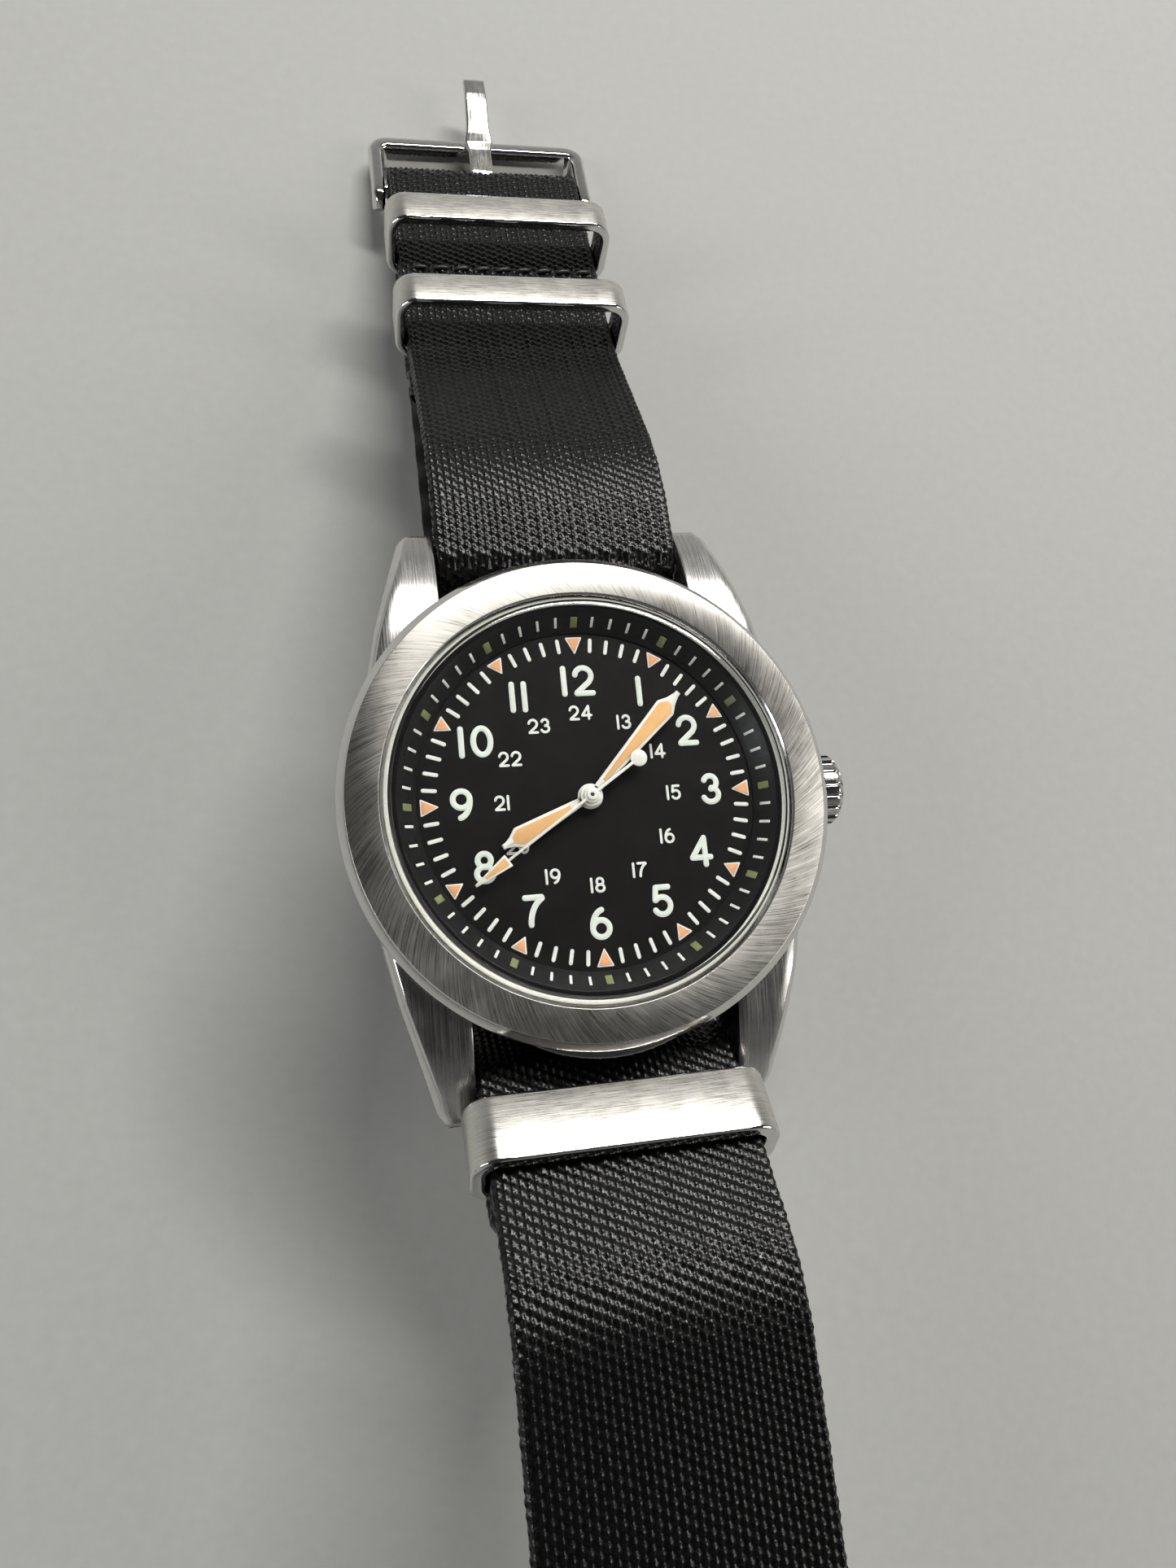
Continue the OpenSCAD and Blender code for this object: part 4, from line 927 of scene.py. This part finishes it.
# the slide ring hides one join and the case the other
S_SLIDE = S_MID - (under_l + CLIMB_R * D(CLIMB) + climb_l + BAR_WRAP * D(CLIMB - OUT6) + 5.2)
ta = Parts()
ribbon(ta, main_p, main_s, 0, idx(S_SLIDE), tail=True)
tb = Parts()
ribbon(tb, main_p, main_s, idx(S_SLIDE), idx(S_MID + 14))
tc = Parts()
s_a, s_b = S_TURN - 3.4, S_TURN + BUCK_R * math.pi + 3.6
ribbon(tc, main_p, main_s, idx(S_MID + 14), idx(s_a))
cw = 20.0 / COLS
uc = cw * 3
ribbon(tc, main_p, main_s, idx(s_a), idx(s_b), -10, -uc)
ribbon(tc, main_p, main_s, idx(s_a), idx(s_b), uc, 10)
ribbon(tc, main_p, main_s, idx(s_b), len(main_s) - 1, per=2)

# round holes near the tail: the cloth is cut away and a melted rim closes it
HOLES = [(0.0, tail_y + 26 + 6.5 * i) for i in range(5)]


def punch(parts, holes, r):
    v = np.concatenate(parts.v)
    keep, uvs, ms = [], [], []
    uv = np.concatenate(parts.uv)
    pos = 0
    starts = []
    for f in parts.f:
        starts.append(pos)
        pos += len(f)
    for f, st, m in zip(parts.f, starts, parts.m):
        if len(f) == 4:
            x, y = v[f, 0].mean(), v[f, 1].mean()
            if abs(x) < 2 and v[f[0], 2] < floor_z + 2 and any(math.hypot(x - hx, y - hy) < r for hx, hy in holes):
                continue
        keep.append(f)
        ms.append(m)
        uvs.append(uv[st : st + len(f)])
    parts.f, parts.m, parts.uv = keep, ms, [np.concatenate(uvs)]


punch(ta, HOLES, 1.12)
make("strap_cloth_tail", ta, M["web"], "case", ("strap_main",), 80, fix=False)
make("strap_cloth_case", tb, M["web"], "case", ("strap_main",), 80, fix=False)
make("strap_cloth_buckle", tc, M["web"], "case", ("strap_main",), 80, fix=False)
rim = Parts()
for hx, hy in HOLES:
    lathe(rim, fillet([(1.0, flat_z - 0.58), (1.32, flat_z - 0.6), (1.38, flat_z - 0.1), (1.36, flat_z + 0.56), (1.18, flat_z + 0.66), (1.0, flat_z + 0.5)], 0.08, True, 2), 40, place=lambda v, hx=hx, hy=hy: v + np.array([hx, hy, 0]))
make("strap_hole_rims", rim, M["thread"], "case", (), 40)

# short strap
SLIDE_W, RING_T, SLIDE_S = 5.2, 1.2, 5.2
s6 = walk(HEAD + [bend(BAR_WRAP, OUT6 - CLIMB)], (0, WEB_Z, 0))[-1]
slide_p = (s6[0] + SLIDE_S * cos(OUT6), s6[1] + SLIDE_S * sin(OUT6))
low_n = -(WEB_T * 1.5 + 0.15 + RING_T / 2 + 0.18 + 0.3)
wrap_h = RING_T / 2 + 0.14 + WEB_T / 2
k1 = SLIDE_W / 2 + 1.1


def sl(u, n):
    return (-(slide_p[0] + u * cos(OUT6) - n * sin(OUT6)), slide_p[1] + u * sin(OUT6) + n * cos(OUT6))


loop = [sl(u, low_n + wrap_h) for u in np.linspace(-SLIDE_W / 2 - 1.4, k1 - 0.6, 20)]
loop += [sl(k1 - 0.6 + wrap_h * cos(a), low_n - wrap_h * sin(a)) for a in range(-84, 85, 6)]
loop += [sl(u, low_n - wrap_h) for u in np.linspace(k1 - 0.6, -SLIDE_W / 2 - 1.4, 20)]
short_z = WEB_Z - WEB_T - 0.12
ss0, ss1 = off(back12(28), -(2 * WEB_T + 0.3)), off(back12(31.3), -(2 * WEB_T + 0.3))


def bez(A, C, B, t):
    return tuple((1 - t) ** 2 * A[i] + 2 * t * (1 - t) * C[i] + t * t * B[i] for i in (0, 1))


short = [ss0] + [bez(ss1, (26, short_z - 0.4), (15, short_z), t) for t in np.linspace(0, 1, 24)] + [(y, short_z) for y in np.arange(14, -under_l + 0.5, -1.0)]
rr = CLIMB_R + WEB_T + 0.12
short += [(-under_l - rr * sin(a), short_z + rr * (1 - cos(a))) for a in range(0, 33, 3)] + loop[::-1]
short_p, short_s = resample(np.array(short), 0.4)
sh = Parts()
ribbon(sh, short_p, short_s, 0, len(short_s) - 1, per=2)
make("strap_cloth_short", sh, M["web"], "case", ("strap_short",), 80, fix=False)

# ------------------------------------------------------------------ stitches


def capsule(parts, a, b, r, flatten=0.7, up=(0, 0, 1), mat=0):
    """A short thread from a to b, flattened towards up."""
    a, b, up = np.array(a, float), np.array(b, float), np.array(up, float)
    ax = b - a
    L = np.linalg.norm(ax)
    ax /= L
    w = np.cross(up, ax)
    w /= np.linalg.norm(w)
    h = np.cross(ax, w)
    t = np.linspace(0, 1, 9)
    rad = r * np.clip(1 - (2 * t - 1) ** 4, 0.02, 1) ** 0.5
    th_ = np.arange(8) * math.pi / 4
    bow = 0.08 * (1 - (2 * t - 1) ** 2)
    pts = np.array([[a + ax * L * ti + h * bo + (w * math.cos(x) + h * math.sin(x) * flatten) * ri for x in th_] for ti, ri, bo in zip(t, rad, bow)])
    v, f, uv = grid(pts, False, True, np.linspace(0, L, 10), np.arange(9) * 0.2)
    f += [list(range(8))[::-1], [64 + q for q in range(8)]]
    parts.add(v, f, np.concatenate([uv, np.zeros((16, 2))]), mat)


st = Parts()
up12 = np.array([0, -sin(b12[2]), cos(b12[2])])
for s_row, ph0 in ((5.6, 0.0), (7.6, 0.4), (14.9, 0.5), (18.4, 0.2), (26.6, 0.6), (29.6, 0.1)):
    y, z = off(back12(s_row), WEB_T / 2 + 0.1)
    x = -9.3 + ph0
    while x < 8.6:
        L = 1.55 + 0.2 * rng.random()
        dy = 0.16 * (rng.random() - 0.5) + 0.12
        a_ = (x, y - dy * cos(b12[2]), z - dy * sin(b12[2]))
        b_ = (x + L, y + dy * cos(b12[2]), z + dy * sin(b12[2]))
        capsule(st, a_, b_, 0.23, 0.75, up12)
        x += L + 0.42
make("strap_stitches", st, M["thread"], "case", (), 60)

# ------------------------------------------------------------------ rings


def rounded_rect(w, h, r, n=10, per=6):
    """Closed centreline, counter-clockwise, with outward normals."""
    P, Nn = [], []
    for cx, cy, a0 in ((w / 2 - r, h / 2 - r, 0), (-w / 2 + r, h / 2 - r, 90), (-w / 2 + r, -h / 2 + r, 180), (w / 2 - r, -h / 2 + r, 270)):
        for k_ in range(n + 1):
            a = a0 + 90 * k_ / n
            P.append((cx + r * cos(a), cy + r * sin(a)))
            Nn.append((cos(a), sin(a)))
    # extra points on the long runs
    out, on = [], []
    for i in range(len(P)):
        j = (i + 1) % len(P)
        out.append(P[i])
        on.append(Nn[i])
        if math.dist(P[i], P[j]) > 1.2:
            m_ = int(math.dist(P[i], P[j]) / 0.8)
            for q in range(1, m_):
                t = q / m_
                out.append((P[i][0] + (P[j][0] - P[i][0]) * t, P[i][1] + (P[j][1] - P[i][1]) * t))
                on.append(Nn[i])
    return np.array(out), np.array(on)


def section(t, w, r, n=3):
    return fillet([(-t / 2, -w / 2), (t / 2, -w / 2), (t / 2, w / 2), (-t / 2, w / 2)], r, True, n)


def on_strap(y, z, a, mirror=1):
    """Local (across, up, along) to the head frame on the strap's slope."""
    ca, sa = cos(a), sin(a)
    return lambda v: np.stack([v[:, 0], mirror * (y + v[:, 2] * ca - v[:, 1] * sa), z + v[:, 2] * sa + v[:, 1] * ca], 1)


def ring(name, w, up, dn, ro, place, body, node, RING_T=1.2):
    p = Parts()
    W, H_ = 2 * (10 + 0.2) + RING_T, up + dn + RING_T
    P, Nn = rounded_rect(W, H_, ro - RING_T / 2)
    P = P + np.array([0, (up - dn) / 2])
    sec = section(RING_T, w, 0.26)
    sweep(p, P, Nn, sec, True, place=place)
    # brushed outer face, polished elsewhere
    n = len(sec)
    for i in range(len(p.f)):
        j = i % n
        a, c_ = sec[j], sec[(j + 1) % n]
        p.m[i] = 0 if a[0] > RING_T / 2 - 0.01 and c_[0] > RING_T / 2 - 0.01 else 1
    return make(name, p, [M["ring_top"], M["edge"]], body, (node,), 30)


ky, kz, ka = back12(KEEP1)
ring("keeper_ring_1_band", 3.8, 4.1, 0.92, 2.0, on_strap(ky, kz, ka), "keeper_1", "keeper_ring_1", 0.9)
ky, kz, ka = back12(KEEP2)
ring("keeper_ring_2_band", 3.8, 4.1, 0.92, 2.0, on_strap(ky, kz, ka), "keeper_2", "keeper_ring_2", 0.9)
ring("slide_ring_band", 5.2, 1.1, -low_n - RING_T / 2, 2.1, on_strap(slide_p[0], slide_p[1], OUT6, -1), "slide_loop", "slide_ring")

# ------------------------------------------------------------------ buckle, local frame on its bar
cb, sb = cos(b12[2]), sin(b12[2])


def buck(v):
    """Local (x, y', z') to the head frame."""
    return np.stack([v[:, 0], bar_c[0] + v[:, 1] * cb - v[:, 2] * sb, bar_c[1] + v[:, 1] * sb + v[:, 2] * cb], 1)


bk = Parts()
cl = fillet([(-11.05, -2.15), (-11.05, 6.5), (11.05, 6.5), (11.05, -2.15)], [0, 1.4, 1.4, 0], False, 12)
path = []
for a, c_ in zip(cl, cl[1:]):
    m_ = max(1, int(math.dist(a, c_) / 0.5))
    path += [a + (c_ - a) * q / m_ for q in range(m_)]
path = np.array(path + [cl[-1]])
nn = normals(path)
sec = fillet([(-0.9, -1.3), (0.9, -1.3), (0.9, 1.25), (-0.9, 1.25)], [0.3, 0.3, 0.62, 0.45], True, 5)
m_, n_ = len(path), len(sec)
wid = np.ones((m_, n_, 2))
dist_end = np.minimum(np.arange(m_), np.arange(m_)[::-1]) * 0.5
rnd = np.clip(1 - np.clip(1 - (dist_end + 0.1) / 1.0, 0, 1) ** 2, 0.1, 1) ** 0.5
hi_top = np.interp(path[:, 1], [-2.2, 0, 4.6, 6.5], [0.78, 0.93, 1.15, 1.19])
wid[:, :, 0] = (rnd * np.interp(path[:, 1], [4.8, 6.3], [0.77, 1.0]))[:, None]
wid[:, :, 1] = np.where(sec[None, :, 1] > 0, hi_top[:, None] * rnd[:, None], rnd[:, None])
sweep(bk, path, nn, sec, False, place=buck, width=wid)
make("buckle_frame_polished", bk, M["polish"], "buckle", ("buckle_frame",), 40)

tg = Parts()
tp = fillet([(0.1, 1.12), (0.7, 1.2), (1.5, 1.55), (4.4, 2.05), (5.4, 2.3), (6.2, 2.75), (9.7, 4.35), (10.4, 4.55), (12.55, 4.75)], [0, 0.5, 0.8, 0.8, 0.8, 0.6, 0.8, 0.8, 0], False, 5)
tpath = []
for a, c_ in zip(tp, tp[1:]):
    q_ = max(1, int(math.dist(a, c_) / 0.25))
    tpath += [a + (c_ - a) * q / q_ for q in range(q_)]
tpath = np.array(tpath + [tp[-1]])
tn = normals(tpath)
tw = np.interp(tpath[:, 0], [0, 4.2, 4.9, 5.6, 6.4, 7, 11, 12.55], [1.2, 1.2, 1.42, 1.5, 1.3, 1.22, 1.16, 1.14])
sec = fillet([(-0.4, -1), (0.4, -1), (0.4, 1), (-0.4, 1)], 0.17, True, 3)
m_, n_ = len(tpath), len(sec)
wid = np.ones((m_, n_, 2))
wid[:, :, 1] = tw[:, None]
endr = np.clip((tpath[-1, 0] - tpath[:, 0]) / 0.35 + 0.35, 0.35, 1) ** 0.6
wid[:, :, 0] = endr[:, None]
sweep(tg, tpath, tn, sec, False, place=lambda v: buck(np.stack([v[:, 2], v[:, 0], v[:, 1]], 1)), width=wid)
lathe(tg, fillet([(0.78, -1.2), (1.5, -1.2), (1.5, 1.2), (0.78, 1.2)], [0.05, 0.18, 0.18, 0.05], True, 3), 48, place=lambda v: buck(np.stack([v[:, 2], v[:, 0], v[:, 1]], 1)))
make("buckle_tongue_bent", tg, M["tongue"], "tongue", ("buckle_tongue",), 35)

# ------------------------------------------------------------------ stage, camera and light
base_z = 0.0
fm = Mat("floor_pale")
fm.set(Specular_IOR_Level=0.25)
nz = fm.noise(fm.coords(False), 0.8, 4.0, 0.6)
fm.out("Base Color", fm.ramp(nz, [(0.3, (0.55, 0.553, 0.533)), (0.7, (0.58, 0.583, 0.563))]))
fm.out("Roughness", fm.remap(nz, 0.6, 0.75))
fme = bpy.data.meshes.new("floor")
fme.from_pydata([(-2, -2, base_z - 1e-5), (2, -2, base_z - 1e-5), (2, 2, base_z - 1e-5), (-2, 2, base_z - 1e-5)], [], [(0, 1, 2, 3)])
fme.materials.append(fm.m)
floor = bpy.data.objects.new("floor", fme)
bpy.context.scene.collection.objects.link(floor)

cam_data = bpy.data.cameras.new("camera")
cam = bpy.data.objects.new("camera", cam_data)
bpy.context.scene.collection.objects.link(cam)
bpy.context.scene.camera = cam
F = 1400.0
cam_data.sensor_width = 36
cam_data.lens = F / 1927 * 36
cam_data.clip_start, cam_data.clip_end = 0.002, 10
view = Vector((0.2092, 0.1838, -0.9605)).normalized()
up = Vector((0.0593, 0.978, 0.2000))
right = view.cross(up).normalized()
up = right.cross(view).normalized()
cam.matrix_world = Matrix(((right.x, up.x, -view.x, OX - 18.31 * MM), (right.y, up.y, -view.y, OY - 15.04 * MM), (right.z, up.z, -view.z, OZ + 84.76 * MM), (0, 0, 0, 1)))


def area(name, pos, size, power, colour=(1, 1, 1), aim=(0, 0, 0), size_y=None):
    L = bpy.data.lights.new(name, "AREA")
    L.shape = "RECTANGLE"
    L.size, L.size_y = size, size_y or size
    L.energy = power
    L.color = colour
    o = bpy.data.objects.new(name, L)
    bpy.context.scene.collection.objects.link(o)
    o.location = Vector((OX, OY, OZ)) + Vector(pos)
    dirn = Vector((OX, OY, OZ)) + Vector(aim) - o.location
    o.rotation_mode = "QUATERNION"
    o.rotation_quaternion = dirn.to_track_quat("-Z", "Y")
    return o


area("softbox_back", (0.15, 0.37, 0.46), 0.38, 2.7, (1.0, 0.985, 0.95), size_y=0.07)
area("softbox_right", (0.42, -0.13, 0.33), 0.1, 0.55, (1.0, 0.97, 0.93), size_y=0.28)
area("softbox_left", (-0.42, -0.06, 0.28), 0.1, 0.45, (0.96, 0.98, 1.0), size_y=0.26)

w = bpy.data.worlds.new("studio")
bpy.context.scene.world = w
w.use_nodes = True
wn = w.node_tree
bg = wn.nodes["Background"]
tc_ = wn.nodes.new("ShaderNodeTexCoord")
sx = wn.nodes.new("ShaderNodeSeparateXYZ")
rp = wn.nodes.new("ShaderNodeValToRGB")
wn.links.new(tc_.outputs["Generated"], sx.inputs[0])
wn.links.new(sx.outputs["Z"], rp.inputs[0])
rp.color_ramp.elements[0].position, rp.color_ramp.elements[0].color = 0.0, (0.46, 0.46, 0.45, 1)
rp.color_ramp.elements[1].position, rp.color_ramp.elements[1].color = 0.85, (0.03, 0.03, 0.03, 1)
e = rp.color_ramp.elements.new(0.4)
e.color = (0.24, 0.24, 0.235, 1)
wn.links.new(rp.outputs[0], bg.inputs[0])
bg.inputs[1].default_value = 1.0
bpy.context.scene.view_settings.view_transform = "Standard"
